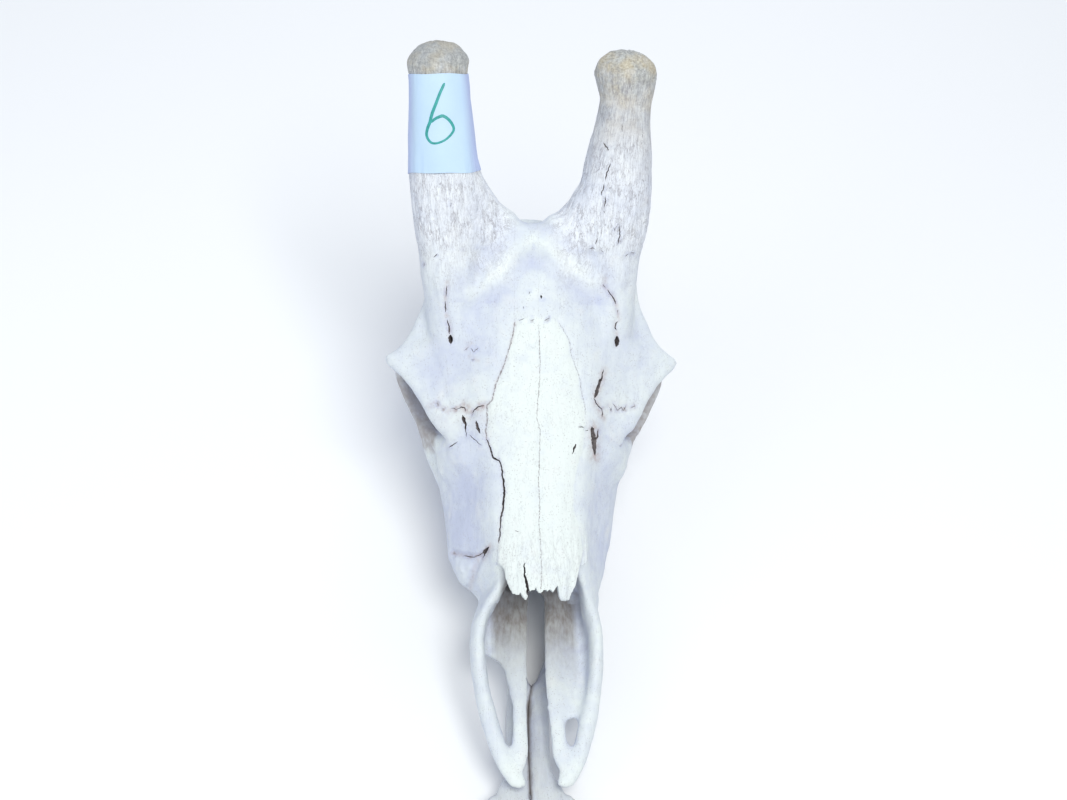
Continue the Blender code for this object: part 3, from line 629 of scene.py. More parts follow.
# %% A crack along a traced line
def crack(bm, tree, line, width, depth, seed, gaps):
    """A crack on the face map: width in millimetres, or a list of widths along it. With gaps it is broken."""
    pts = line_points(line, CRACK_STEP)
    n = len(pts)
    runs, run = [], []
    for i, p in enumerate(pts):
        t = i / max(n - 1, 1)
        q = wander(p, 0.4, seed)
        fine = np.array((noise.noise((p[0] * 1.3, p[1] * 1.3, seed + 8)),
                         noise.noise((p[1] * 1.3, p[0], seed + 9))))
        hit = drop(tree, *(p + q * CRACK_SWAY * 2 + fine * CRACK_SWAY))
        broken = gaps is not None and noise.noise((p[0] * 0.23, p[1] * 0.23, seed + 3)) < gaps
        far = run and hit is not None and (hit[0] - run[-1][0]).length > 0.008
        if hit is None or broken or far:
            runs.append(run)
            run = []
            if hit is None or broken:
                continue
        if run and (hit[0] - run[-1][0]).length < 0.0004:
            continue
        if isinstance(width, (int, float)):
            w = width
        else:
            w = float(np.interp(t, np.linspace(0, 1, len(width)), width))
        jitter = 1 + 0.5 * noise.noise((p[0] * 0.5, p[1] * 0.5, seed + 2))
        run.append((hit[0], hit[1], w * jitter))
    runs.append(run)
    for run in runs:
        m = len(run)
        if m < 3:
            continue
        ends = [min(1.0, 0.25 + 1.2 * min(k, m - 1 - k) / 3) for k in range(m)]
        wedge(bm, [(r[0], r[1]) for r in run], [r[2] * e for r, e in zip(run, ends)],
              [depth * (0.4 + 0.6 * e) for e in ends])


# %% Cutting with a second mesh
def add_slots(mesh):
    """One plain material for each slot, so that a cut wall can be told from the bone."""
    for slot in SLOTS:
        name = "cutter_" + slot
        mesh.materials.append(bpy.data.materials.get(name) or bpy.data.materials.new(name))


def cutter_object(name, bm):
    bmesh.ops.recalc_face_normals(bm, faces=bm.faces)
    mesh = bpy.data.meshes.new(name)
    bm.to_mesh(mesh)
    bm.free()
    ob = bpy.data.objects.new(name, mesh)
    scene.collection.objects.link(ob)
    add_slots(mesh)
    return ob


def cut(ob, cutter, how="DIFFERENCE", keep=False):
    apply_modifier(ob, "BOOLEAN", operation=how, solver="MANIFOLD", object=cutter)
    if not keep:
        bpy.data.objects.remove(cutter, do_unlink=True)


# %% The cracks of the face
OPEN_CRACKS = (
    # line, width, depth
    (((-44, 140), (-41, 131), (-39, 124), (-34, 121), (-32, 115), (-31, 105), (-30, 95), (-31, 84), (-33, 72),
      (-34, 60), (-35, 52)), (0.7, 1.1, 0.9, 1.2, 1.5, 1.3, 0.9, 1.1), 4.0),
    (((57, 201), (55, 195), (52, 188), (50, 181), (47.5, 175)), (0.6, 1.2, 2.2, 3.0, 1.4), 5.0),
    (((47, 175), (50, 171), (55, 167), (55, 160)), (1.1, 0.9, 0.8), 3.0),
    (((45, 151), (46.5, 143), (47.5, 136), (48.5, 127)), (1.6, 4.6, 4.2, 1.2), 6.0),
    (((51, 150), (51, 144), (48.5, 138)), (0.9, 1.7, 0.8), 3.5),
    (((30, 135), (27, 127)), (1.6, 1.1), 3.0),
    (((1, 261), (1, 257)), (1.5, 1.3), 2.5),
    (((-63.5, 162), (-62.5, 158), (-61, 153), (-60.5, 147), (-60, 143)), (1.2, 2.4, 1.5, 0.5, 0.4), 4.0),
    (((-68, 167), (-65, 168.5), (-62, 167.5), (-61, 164)), (0.5, 0.9, 0.9, 0.5), 2.0),
    (((-56, 161), (-54, 165), (-52, 167), (-46, 168)), (0.5, 0.9, 0.8, 0.6), 2.0),
    (((-53, 156), (-51.5, 151), (-49.5, 145)), (1.2, 2.6, 1.3), 5.0),
    (((-58, 145), (-53, 139), (-48, 135)), (0.5, 0.6, 0.4), 2.0),
    (((-74, 229), (-74, 222)), (2.6, 2.2), 6.0),
    (((69, 231), (69, 222)), (2.8, 2.4), 6.0),
    (((-42, 50), (-44, 47), (-46, 42)), (2.2, 1.5), 6.0),
    (((-15, 36), (-15, 26), (-13, 14), (-12, 8)), (0.8, 1.5, 2.6), 5.0),
)
FINE_CRACKS = (
    (CHEEK_LEDGE, (0.4, 0.7, 0.5, 0.9), 1.8),
    (((-18, 238.5), (-13, 241), (-8, 239), (-2, 240), (3, 239), (8, 241), (13, 240)), 0.4, 1.0),
    (TEAR_SUTURE_RIGHT_SIDE[:7], 0.5, 1.6),
    (TEAR_SUTURE_LEFT_SIDE[2:], 0.5, 1.6),
    (CHEEK_SUTURE_RIGHT_SIDE, 0.8, 2.0),
    (CHEEK_SUTURE_LEFT_SIDE[2:], 0.6, 1.5),
    (((33, 150), (37, 150), (40, 147), (43, 148)), 0.8, 1.6),
    (GROOVE_RIGHT_SIDE[:7], (0.5, 0.9, 0.7, 1.1), 2.2),
    (GROOVE_LEFT_SIDE[1:9], (0.6, 0.9, 0.7, 1.0), 2.2),
    (HORN_SUTURE_RIGHT_SIDE, 0.7, 1.6),
    (HORN_SUTURE_LEFT_SIDE[:6], 0.6, 1.4),
    (HORN_SUTURE_LEFT_SIDE[7:10], 0.7, 1.4),
    (((-67, 154), (-67, 148)), 0.8, 1.5),
    (((-62, 216), (-58, 219), (-55, 214), (-51, 217)), 0.5, 1.2),
    (((-59, 210), (-55, 207), (-50, 209)), 0.5, 1.2),
    (((-9, 263), (-9.5, 260.5)), 0.8, 1.2),
    (((7, 253), (7.5, 250.5)), 0.8, 1.2),
    (((-14, 251), (-13.5, 248.5)), 0.8, 1.2),
    (((10, 262), (10.5, 259.5)), 0.8, 1.2),
    (((-3, 271), (-3, 268.5)), 0.8, 1.2),
    (((3, 247), (2.5, 244.5)), 0.8, 1.2),
    (((-24, 76), (-24, 68)), 0.6, 1.2),
    (((-22, 62), (-14, 60)), 0.5, 1.2),
    (((1, 104), (5, 94)), 0.4, 1.0),
    (((-77, 332), (-77, 320), (-74, 311), (-72, 308)), 0.7, 1.6),
    (((-82, 315), (-84, 312)), 0.8, 1.6),
    (((54, 342), (53, 331), (56, 325), (54, 319)), 0.9, 1.8),
    (((58, 322), (62, 315)), 0.8, 1.6),
    (((69, 334), (72, 327)), 0.8, 1.6),
    (((66, 318), (67, 311), (66, 305)), 0.8, 1.6),
    (((49, 310), (47, 305)), 0.9, 1.6),
    (((51, 388), (56, 378), (57, 368), (54, 360), (52, 350), (50, 344)), 0.9, 1.8),
    (((66, 402), (66, 394)), 0.6, 1.4),
    (((84, 394), (84, 383)), 0.7, 1.4),
    (((88, 378), (91, 368), (92, 361)), 0.8, 1.6),
)


# %% Cutting the cracks
def cut_cracks(ob):
    """Cut both groups of wedges out of the skin, each in two turns with every other line."""
    tree = tree_of(ob)
    ob.data.materials.clear()
    add_slots(ob.data)
    for group, lines, gaps in (("open", OPEN_CRACKS, None), ("fine", FINE_CRACKS, -0.12)):
        for parity in (0, 1):
            bm = bmesh.new()
            for i, (line, width, depth) in enumerate(lines):
                if i % 2 == parity:
                    crack(bm, tree, line, width, depth, i * 1.7, gaps)
            for f in bm.faces:
                f.material_index = 1 if group == "open" else 2
            cut(ob, cutter_object(group + "_wedges", bm))
            print(group, "cracks cut:", triangles(ob), "triangles")


cut_cracks(skin)

# %% [markdown]
# ## The broken tips of the nasal bones
# The thin free ends of the nasal bones are chipped: a ragged edge with notches and one long splinter on
# the animal's left. An even edge would look moulded. The front is trimmed with a cutter whose edge
# follows the traced outline, with small random chips between the traced points.

# %% Trimming the nasal tips
NASAL_TIPS = ((-46, 60), (-43, 53), (-38, 34), (-31, 22), (-27, 14), (-24, 10), (-20, 9), (-18.5, 11),
              (-17, 8), (-14.5, 4.5), (-13.2, 6), (-12, 12), (-9, 13), (-7, 12.5), (-6, 15), (-4, 10.5),
              (-2, 10), (0, 12.5), (2, 13), (3.5, 11.5), (5, 13.5), (8, 11), (10, 14), (12, 16), (13.2, 8),
              (15, 4), (17, 1), (18.5, 0), (20, 5), (21.5, 3), (23, 8), (25, 12), (27, 15), (29, 22),
              (31, 30), (33, 37), (36, 48), (39, 60))


def trim_nasal_tips(ob):
    edge = []
    for i, p in enumerate(line_points(NASAL_TIPS, 0.9)):
        chip = 1.1 * noise.noise((p[0] * 1.1, p[1] * 1.1, 4.2))
        chip += 0.7 * noise.noise((p[0] * 2.7, p[1] * 2.7, 1.2))
        edge.append((p[0], p[1] + chip))
    outline = edge + [(60, 60), (60, -60), (-60, -60), (-60, 60)]
    bm = bmesh.new()
    low = [bm.verts.new(Vector(from_map(u, v + 0.8, -13))) for u, v in outline]
    high = [bm.verts.new(Vector(from_map(u, v, 45))) for u, v in outline]
    n = len(outline)
    for i in range(n):
        j = (i + 1) % n
        bm.faces.new((low[i], low[j], high[j], high[i]))
    bm.faces.new(list(reversed(low)))
    bm.faces.new(high)
    bmesh.ops.triangulate(bm, faces=[f for f in bm.faces if len(f.verts) > 4])
    cut(ob, cutter_object("tip_cutter", bm))
    print("nasal tips trimmed", triangles(ob))


trim_nasal_tips(skin)

# %% [markdown]
# ## Taking the skin apart into bones
# The frame names each bone, and a museum would too, so the skin is cut back into them along the same
# sutures. A Boolean with one shared cutter gives two pieces that fit with no gap. The bones could be
# left as one skin, but then none could be lifted off or studied alone.


# %% Closed cutters built from rings
def ring_solid(name, rings):
    bm = bmesh.new()
    rows = [[bm.verts.new(Vector(p)) for p in ring] for ring in rings]
    n = len(rows[0])
    for a, b in zip(rows, rows[1:]):
        for i in range(n):
            j = (i + 1) % n
            bm.faces.new((a[i], a[j], b[j]))
            bm.faces.new((a[i], b[j], b[i]))
    bm.faces.new(rows[0])
    bm.faces.new(list(reversed(rows[-1])))
    bmesh.ops.triangulate(bm, faces=[f for f in bm.faces if len(f.verts) > 4])
    return cutter_object(name, bm)


def along_v(line, v):
    pts = sorted((p[1], p[0]) for p in line)
    return float(np.interp(v, [p[0] for p in pts], [p[1] for p in pts]))


def along_u(line, u):
    pts = sorted((p[0], p[1]) for p in line)
    return float(np.interp(u, [p[0] for p in pts], [p[1] for p in pts]))


# %% Cutters for the nose and the jaws
def nasal_cutter(tree):
    rings = []
    for i in range(86):
        v = -15 + 3.0 * i
        v = min(v, 239.5)
        left = along_v(NASAL_EDGE_LEFT_SIDE, v)
        right = along_v(NASAL_EDGE_RIGHT_SIDE, v)
        if v < 47:
            left = float(np.interp(v, (-15, 10, 47), (27, 33, 36)))
            right = float(np.interp(v, (-15, 10, 47), (-27, -33, -36)))
        hit = drop(tree, 0.5 * (left + right), v)
        top = to_map(np.array(hit[0]))[2] if hit is not None and v > 8 else 3.0
        low = [from_map(f, v, top - 9.5 - 7.0 * (f / 40) ** 2) for f in
               (right, right * 0.5, 0.5 * (left + right) * 0.5, left * 0.5, left)]
        rings.append([from_map(right, v, top + 30)] + low + [from_map(left, v, top + 30)])
        if v >= 239.5:
            break
    return ring_solid("nasal_cutter", rings)


def cheek_line(u):
    """Where the upper jaw ends behind, on the map."""
    if u < 0:
        line = ((-130, 118), (-76, 135), (-70, 138), (-65, 141), (-61, 144), (-52, 148), (-45, 150), (0, 150))
    else:
        line = ((0, 150), (43, 148), (57, 147), (62, 143), (68, 139), (75, 138), (130, 118))
    return along_u(line, u)


def upper_jaw_cutter():
    rings = []
    for i in range(161):
        u = -128 + 1.6 * i
        v = cheek_line(u) + 0.8 * noise.noise((u * 0.35, 0.0, 0.0))
        back_top = from_map(u, v, 120)
        back_low = from_map(u, v, -60)
        ring = [(u, -60, -60), (u, -60, 300)]
        ring = [from_skull(p) for p in ring] + [back_top, back_low]
        ring += [from_skull(p) for p in ((u, 300, 41), (u, 352, 27), (u, 360, -60))]
        rings.append(ring)
    return ring_solid("jaw_cutter", rings)


def tear_bone_cutter(side):
    line = TEAR_SUTURE_LEFT_SIDE if side > 0 else TEAR_SUTURE_RIGHT_SIDE
    rings = []
    for i in range(111):
        u = side * (44 + 0.75 * i)
        v = along_u(line, u) if abs(u) < 88 else 172 + 0.2 * (abs(u) - 88)
        rings.append([from_map(u, 90, 40), from_map(u, v, 40), from_map(u, v, -62), from_map(u, v - 18, -84),
                      from_map(u, 90, -70)])
    return ring_solid("tear_cutter", rings)


def premaxilla_cutter():
    outline = ((-60, -60), (-60, 200), (186, 200), (150, 40), (118, 12), (112, -60))
    return ring_solid("premaxilla_cutter", [[from_skull((x, y, z)) for y, z in outline] for x in (-200, 200)])


def middle_cutter(swayed):
    """Everything on the animal's left of the middle."""
    rings = []
    for v in ([-220] + list(range(-20, 262, 3)) + [420] if swayed else [-300, 500]):
        u = along_v(MIDLINE, v) if swayed and 10 < v < 235 else 0.0
        rings.append([from_map(side_u, v, n) for side_u, n in ((u, -300), (300, -300), (300, 200), (u, 200))])
    return ring_solid("middle_cutter", rings)


# %% A sleeve round each horn
def horn_cutter(name):
    """A sleeve round one horn, with a wavy lower edge along the horn's suture."""
    foot, tip = (Vector(p) for p in HORN_AXES[name])
    along = (tip - foot).normalized()
    across = Vector((0, 0, 1)).cross(along).normalized()
    rise = along.cross(across)
    length = (tip - foot).length
    inward = 1 if name == "ossicone_left" else -1
    around = 120
    low, high = [], []
    for k in range(around):
        a = 2 * pi * k / around
        wave = 0.012 * noise.noise((cos(a) * 4, sin(a) * 4, inward))
        wave += 0.010 * noise.noise((cos(a) * 14, sin(a) * 14, 3))
        reach = 0.040 + 0.036 * max(0.0, inward * cos(a)) ** 2
        out = across * cos(a) + rise * sin(a)
        low.append(foot + along * (length * (-0.055 + wave)) + out * reach)
        high.append(foot + along * (length * 1.15) + out * reach)
    bm = bmesh.new()
    low = [bm.verts.new(p) for p in low]
    high = [bm.verts.new(p) for p in high]
    deep = bm.verts.new(foot - along * (length * 0.05))
    peak = bm.verts.new(foot + along * (length * 1.15))
    for k in range(around):
        j = (k + 1) % around
        bm.faces.new((low[k], low[j], high[j], high[k]))
        bm.faces.new((deep, low[j], low[k]))
        bm.faces.new((peak, high[k], high[j]))
    return cutter_object("horn_cutter", bm)


# %% Cutting the bones out of the skin
def twin(ob, name):
    copy = bpy.data.objects.new(name, ob.data.copy())
    scene.collection.objects.link(copy)
    return copy


def split(ob, cutter, name):
    """The part of ob inside the cutter becomes a new piece, and ob keeps the rest."""
    piece = twin(ob, name)
    cut(piece, cutter, "INTERSECT", keep=True)
    cut(ob, cutter, "DIFFERENCE")
    return piece


# %% Keeping the largest body and few enough triangles
def biggest_only(ob):
    """Keep the largest connected body of a piece."""
    count = len(ob.data.vertices)
    ed = get_edges(ob)
    label = np.arange(count)
    while True:
        low = np.minimum(label[ed[:, 0]], label[ed[:, 1]])
        new = label.copy()
        np.minimum.at(new, ed[:, 0], low)
        np.minimum.at(new, ed[:, 1], low)
        new = new[new]
        if (new == label).all():
            break
        label = new
    names, sizes = np.unique(label, return_counts=True)
    keep = names[np.argmax(sizes)]
    if len(names) > 1:
        bm = bmesh.new()
        bm.from_mesh(ob.data)
        bm.verts.ensure_lookup_table()
        loose = [bm.verts[int(i)] for i in np.nonzero(label != keep)[0]]
        bmesh.ops.delete(bm, geom=loose, context="VERTS")
        bm.to_mesh(ob.data)
        bm.free()
    return len(names) - 1


MOST_TRIANGLES = 190000


def thin_out_of_sight(ob):
    """Fewer triangles behind and below, where no crack is cut, so that the piece keeps under its limit."""
    hidden = ((get_normals(ob) @ MAP_N) < -0.15) | (to_map(get_points(ob))[1] > 350)
    group = ob.vertex_groups.new(name="out_of_sight")
    group.add(np.nonzero(hidden)[0].tolist(), 1.0, "REPLACE")
    before = len(ob.data.vertices)
    apply_modifier(ob, "DECIMATE", ratio=MOST_TRIANGLES / triangles(ob), vertex_group=group.name)
    ob.vertex_groups.clear()
    print(ob.name, int(hidden.sum()), "of", before, "points out of sight,", len(ob.data.vertices), "kept")


# %% The bones, one by one
def take_apart(ob):
    tree = tree_of(ob)
    pieces = []
    for name in HORN_AXES:
        pieces.append(split(ob, horn_cutter(name), name + "_bone"))
    nasals = split(ob, nasal_cutter(tree), "nasal_right_bone")
    pieces.append(split(nasals, middle_cutter(True), "nasal_left_bone"))
    pieces.append(nasals)
    upper = split(ob, upper_jaw_cutter(), "maxilla_right_bone")
    for side, name in ((1, "lacrimal_left"), (-1, "lacrimal_right")):
        pieces.append(split(ob, tear_bone_cutter(side), name + "_bone"))
    pre = split(upper, premaxilla_cutter(), "premaxilla_right_bone")
    for whole, name in ((pre, "premaxilla_left_bone"), (upper, "maxilla_left_bone")):
        pieces.append(split(whole, middle_cutter(False), name))
        pieces.append(whole)
    ob.name = "cranium_bone"
    pieces.append(ob)
    for piece in pieces:
        lost = biggest_only(piece)
        if triangles(piece) > MOST_TRIANGLES:
            thin_out_of_sight(piece)
        print(piece.name, triangles(piece), "triangles,", lost, "crumbs dropped")
    return pieces


bones = take_apart(skin)

# %% [markdown]
# ## The lower jaw
# Only its front shows between the prongs of the snout, but the whole of it is there. Each half is
# wrapped and ironed like the skull. The two halves stay separate pieces, as in life.

# %% Both halves of the lower jaw
JAW_SPACING = 0.0013
JAW_SWELL = 0.0003


def make_jaw(node):
    ob = wrap((node,), node + "_bone", JAW_SPACING, JAW_SWELL)
    iron(ob, rounds=30, thin=0.003, thick=0.010)
    co, no = get_points(ob), get_normals(ob)
    d = 0.25 * fine_noise(co, 20, 4.4) + 0.12 * fine_noise(co, 6, 2.7)
    co = co + no * (d * 0.001)[:, None]
    co[:, 2] = np.maximum(co[:, 2], 0.0)
    set_points(ob, co)
    add_slots(ob.data)
    return ob


jaws = [make_jaw("mandible_left"), make_jaw("mandible_right")]
print("jaws", [triangles(j) for j in jaws])

# %% [markdown]
# ## Dirt, shade, age and colour painted on the points
# Dust and grease stay where a brush doesn't reach, and light reaches there less. Each point gets a number
# that says how shut in it is, found with a few rays, and another that says how tan it is, which grows towards
# the horns' tips.
# The materials read both: shut-in places get brown dirt and bluish grey painted shade together. Painting by
# hand on a texture would need an image, which isn't used here.
# For the shut seams of the nose each point gets its signed distance from the seam. A material can draw
# a line where that number is 0, much finer than the spacing of the points.


# %% Painting numbers on the points
def ray_fan(count):
    """Even directions over a half sphere round +Z."""
    out = []
    for i in range(count):
        z = (i + 0.5) / count
        a = i * 2.399963
        r = sqrt(1 - z * z)
        out.append(Vector((r * cos(a), r * sin(a), z)))
    return out


def paint(ob, name, values):
    attr = ob.data.attributes.get(name) or ob.data.attributes.new(name, "FLOAT", "POINT")
    attr.data.foreach_set("value", np.ascontiguousarray(values, dtype=np.float32))


def paint_flow(ob, co):
    """A place for the grain: its third number runs along the horn, the skull or the jaw."""
    own = ob.name.replace("_bone", "")
    if own.startswith("mandible"):
        flow = co[:, (0, 2, 1)]
    else:
        u, v, n = to_map(co)
        flow = np.stack([u, n, v], axis=1) * 0.001
    horn = "ossicone_left" if co[:, 0].mean() > 0 else "ossicone_right"
    parts = []
    for name in HORN_AXES:
        s, turn, r = horn_place(co, name)
        spread = 0.027 + 0.35 * np.clip(r - 30, 0, 60) * 0.001
        parts.append(np.stack([np.cos(turn) * spread, np.sin(turn) * spread, s * 0.164], axis=1))
    along = parts[0] if horn == "ossicone_left" else parts[1]
    if own == "cranium":
        along = np.where((co[:, 0] > -0.006)[:, None], parts[0], parts[1])
    for name, values in (("flow", flow), ("horn_flow", along)):
        attr = ob.data.attributes.new(name, "FLOAT_VECTOR", "POINT")
        attr.data.foreach_set("vector", np.ascontiguousarray(values, dtype=np.float32).ravel())


# %% How shut in each point is
def everything_tree(obs):
    verts, faces = [], []
    for ob in obs:
        base = len(verts)
        verts += [v.co.copy() for v in ob.data.vertices]
        faces += [tuple(i + base for i in p.vertices) for p in ob.data.polygons]
    return BVHTree.FromPolygons(verts, faces)


def shelter_samples(obs, tree, every, reach):
    """Shelter at every few points, kept in a search tree for all the pieces."""
    fan = ray_fan(12)
    found = []
    for ob in obs:
        co, no = get_points(ob), get_normals(ob)
        for i in range(0, len(co), every):
            n = Vector(no[i])
            if n.length < 0.5:
                continue
            turn = n.to_track_quat("Z", "Y")
            at = Vector(co[i]) + n * 0.0008
            shut = 0.0
            for ray in fan:
                hit = tree.ray_cast(at, turn @ ray, reach)
                if hit[0] is not None:
                    shut += 1.0 - 0.5 * hit[3] / reach
            found.append((at, shut / len(fan)))
    tree_of_points = KDTree(len(found))
    for i, sample in enumerate(found):
        tree_of_points.insert(sample[0], i)
    tree_of_points.balance()
    return tree_of_points, [f[1] for f in found]


SEAM_LINES = (
    # painted number, line, lowest v, highest v
    ("seam_middle", MIDLINE, 14, 231),
    ("seam_right", NASAL_EDGE_RIGHT_SIDE, 140, 238),
    ("seam_left", NASAL_EDGE_LEFT_SIDE, 160, 238),
)


def seam_at(line, v):
    """How far across a seam lies, at each place along the nose."""
    rows = sorted(line, key=lambda q: q[1])
    return np.interp(v, [q[1] for q in rows], [q[0] for q in rows])


# %% Signed distance from the nose's seams
def paint_seams(ob, u, v, n):
    """Signed distance from each suture of the nose in millimetres: a line is drawn where it is 0."""
    for name, line, low, high in SEAM_LINES:
        slope = 0.5 * (seam_at(line, v + 1) - seam_at(line, v - 1))
        away = (u - seam_at(line, v)) / np.hypot(1, slope)
        here = (v > low) & (v < high) & (n > -20)
        paint(ob, name, np.where(here, np.clip(away, -9, 9), np.where(away < 0, -9, 9)))


def paint_shelter(ob, co, near, level):
    """The mean of the three nearest samples."""
    shut = np.empty(len(co))
    for i, p in enumerate(co.tolist()):
        hits = near.find_n(p, 3)
        shut[i] = sum(level[h[1]] for h in hits) / 3
    paint(ob, "shelter", shut)


# %% Horns, stains, painted shade and painted highlight
def paint_horn_tones(ob, co):
    """Tan grows towards the tips, and fibres run from the roots up."""
    tan, fibre = np.zeros(len(co)), np.zeros(len(co))
    for name in HORN_AXES:
        s, r = horn_reach(co, name)
        tan = np.maximum(tan, np.clip((s - 0.28) / 0.62, 0, 1) ** 1.4 * (r < 60))
        near_axis = np.clip((64 - r) / 18, 0, 1)
        fibre = np.maximum(fibre, np.clip((s + 0.34) / 0.38, 0, 1) * near_axis)
    paint(ob, "tan", tan)
    paint(ob, "fibre", fibre)


def paint_stains(ob, u, v, n):
    stain = np.zeros(len(u))
    for line, width, strength in STAIN_LINES:
        d = line_distance(u, v, line)[0]
        stain = np.maximum(stain, strength * np.exp(-(d / width) ** 2) * (n > -70))
    paint(ob, "stain", stain)


def paint_shade_and_highlight(ob, co, u, v, n):
    """Painted shade in the hollows and on what faces away from the light, a painted highlight on the nose and
    ridge, and whiter horns.
    """
    up = get_normals(ob) @ MAP_N
    # painted shade on what faces away from the light, over an even bluish tint
    painted_shade_and_highlight = 0.30 + 0.35 * np.clip(0.55 - up, 0, 1)
    for cu, cv, ru, rv, amount in PAINTED_SHADE_PLACES:
        painted_shade_and_highlight += amount * blob(u, v, cu, cv, ru, rv)
    # a painted highlight on the nose
    right_edge = seam_at(NASAL_EDGE_RIGHT_SIDE, v)
    left_edge = seam_at(NASAL_EDGE_LEFT_SIDE, v)
    on_nose = np.clip((u - right_edge) / 2, 0, 1) * np.clip((left_edge - u) / 2, 0, 1)
    painted_shade_and_highlight -= 0.36 * on_nose * np.clip((243 - v) / 5, 0, 1) * np.clip((n + 18) / 6, 0, 1)
    # a painted highlight along the forehead's ridge, and painted shade in the hollow behind it
    ridge = line_distance(u, v, CHEVRON)[0]
    painted_shade_and_highlight -= 0.30 * np.exp(-(ridge / 6.0) ** 2) * (n > -60)
    painted_shade_and_highlight += 0.22 * np.exp(-((ridge - 15) / 8.0) ** 2) * (n > -60) * (v > 255)
    for name in HORN_AXES:
        s, r = horn_reach(co, name)
        painted_shade_and_highlight -= 0.10 * np.clip((s + 0.3) / 0.4, 0, 1) * (r < 62)
    paint(ob, "painted_shade_and_highlight", np.clip(painted_shade_and_highlight, 0, 1.2))


# %% Sockets, nose and knobs
def paint_sockets(ob, u, v, n):
    """Darker brown-grey inside the eye sockets, behind their rims."""
    orbit = np.clip((-58 - n) / 12, 0, 1) * np.clip((np.abs(u) - 76) / 8, 0, 1)
    orbit *= np.clip((v - 130) / 14, 0, 1) * np.clip((214 - v) / 10, 0, 1)
    paint(ob, "socket_dark", orbit)


def paint_nose(ob, co, u, v, n):
    """Brown inside the nose under the nasal tips and on the jaw's front under the snout, partly stain and
    partly painted shade, darker along the lower jaw's middle seam, and fine lines on the nasal tips.
    """
    if ob.name.startswith("mandible"):
        step_at, step = zip(*JAW_STEP[:5])
        seam = co[:, 0] * 1000 - np.interp(co[:, 1] * 1000 + 252, step_at, step)
        nose = np.clip((0 - v) / 30, 0, 1) * (0.28 + 0.5 * np.exp(-(seam / 1.6) ** 2))
    else:
        nose = np.interp(v, (-92, -62, -38, -20, -10), (0, 0.14, 0.42, 0.85, 1)) * (v < 115)
        nose *= np.clip((-12 - n) / 10, 0, 1) * np.clip((np.where(v > 4, 34, 38) - np.abs(u)) / 5, 0, 1)
    paint(ob, "nose_brown_and_shade", nose)
    paint(ob, "tip", np.clip((70 - v) / 20, 0, 1) * (np.abs(u) < 38) * (n > -14) * (v > -20))


def paint_knobs(ob, co):
    """The grainy knob of each horn, and the darker top of the right one."""
    knob = np.zeros(len(co))
    for name in HORN_AXES:
        s, r = horn_reach(co, name)
        knob = np.maximum(knob, np.clip((s - 0.82) / 0.10, 0, 1) * (r < 60))
    paint(ob, "knob", knob)
    s, r = horn_reach(co, "ossicone_right")
    paint(ob, "smoke", np.clip((s - 0.86) / 0.06, 0, 1) * (r < 60))


# %% Painting every bone
def paint_all(obs):
    near, level = shelter_samples(obs, everything_tree(obs), every=9, reach=0.05)
    for ob in obs:
        co = get_points(ob)
        u, v, n = to_map(co)
        paint_shelter(ob, co, near, level)
        paint_horn_tones(ob, co)
        paint_seams(ob, u, v, n)
        paint_stains(ob, u, v, n)
        paint_shade_and_highlight(ob, co, u, v, n)
        paint_sockets(ob, u, v, n)
        paint_nose(ob, co, u, v, n)
        paint_knobs(ob, co)
        paint_flow(ob, co)
    print("painted", len(level), "shelter samples")


# how far the lower jaw lies to the side, by the place along it: it is a little skew under the skull
JAW_STEP = ((0, -8), (30, -7.5), (60, -6), (85, -3.5), (102, 0.3), (121, 4), (160, 5), (236, 3), (340, 0),
            (430, 0))
PAINTED_SHADE_PLACES = (
    # patches of painted shade: map place, size, strength
    (-58, 92, 17, 46, 0.60), (60, 92, 17, 46, 0.54), (-62, 55, 16, 20, 0.30), (58, 52, 12, 18, 0.30),
    (-78, 212, 34, 34, 0.42), (80, 212, 34, 34, 0.34), (-6, 288, 18, 10, 0.20), (-38, 262, 18, 11, 0.24),
    (32, 266, 18, 11, 0.26), (-46, 240, 20, 26, 0.26), (46, 242, 20, 26, 0.22), (-78, 150, 26, 18, 0.06),
    (80, 150, 26, 18, 0.22), (-30, 128, 8, 30, 0.22),
)
STAIN_LINES = (
    (((-68, 167), (-63, 169), (-56, 163), (-48, 168)), 4.0, 0.75),
    (((47, 150), (48, 126)), 5.4, 0.7),
    (((-80, 158), (-48, 158)), 11.0, 0.13),
    (CHEEK_LEDGE, 1.8, 0.55),
    (LUMP_FURROW, 2.0, 0.4),
    (((57, 200), (49, 178), (50, 168), (56, 160)), 3.4, 0.6),
    (((-61, 217), (-57, 221)), 2.0, 0.3),
    (((-58, 211), (-51, 206)), 1.6, 0.3),
    (GROOVE_RIGHT_SIDE, 2.2, 0.4),
    (GROOVE_LEFT_SIDE, 2.2, 0.4),
    (TEAR_SUTURE_RIGHT_SIDE, 3.2, 0.34),
    (TEAR_SUTURE_LEFT_SIDE, 3.0, 0.26),
    (NASAL_EDGE_RIGHT_SIDE, 1.4, 0.3),
    (((-42, 50), (-46, 42)), 3.0, 0.6),
)
paint_all(bones + jaws)

# %% [markdown]
# ## Materials for bone
# Clean dry bone is almost white, matt and full of tiny pores. Its colour drifts at random between warmer and
# bluer white. Where it is sheltered it is painted bluish grey as shade and brown as dirt and shade, on what
# faces away from the light it is painted bluish grey as shade, and on the nose and the forehead's ridge it is
# painted lighter as a highlight. Each crack's wall is painted dark, as shade inside the gap. The colour is
# mixed from layers of noise and the painted numbers. Fine pores and grain are too small for the mesh, so they
# are a bump. The horns have the same layers, and the painted numbers bring in their tan and their fibres.


# %% Node helpers
def new_material(name):
    mat = bpy.data.materials.new(name)
    mat.use_nodes = True
    tree = mat.node_tree
    return mat, tree, tree.nodes["Principled BSDF"]


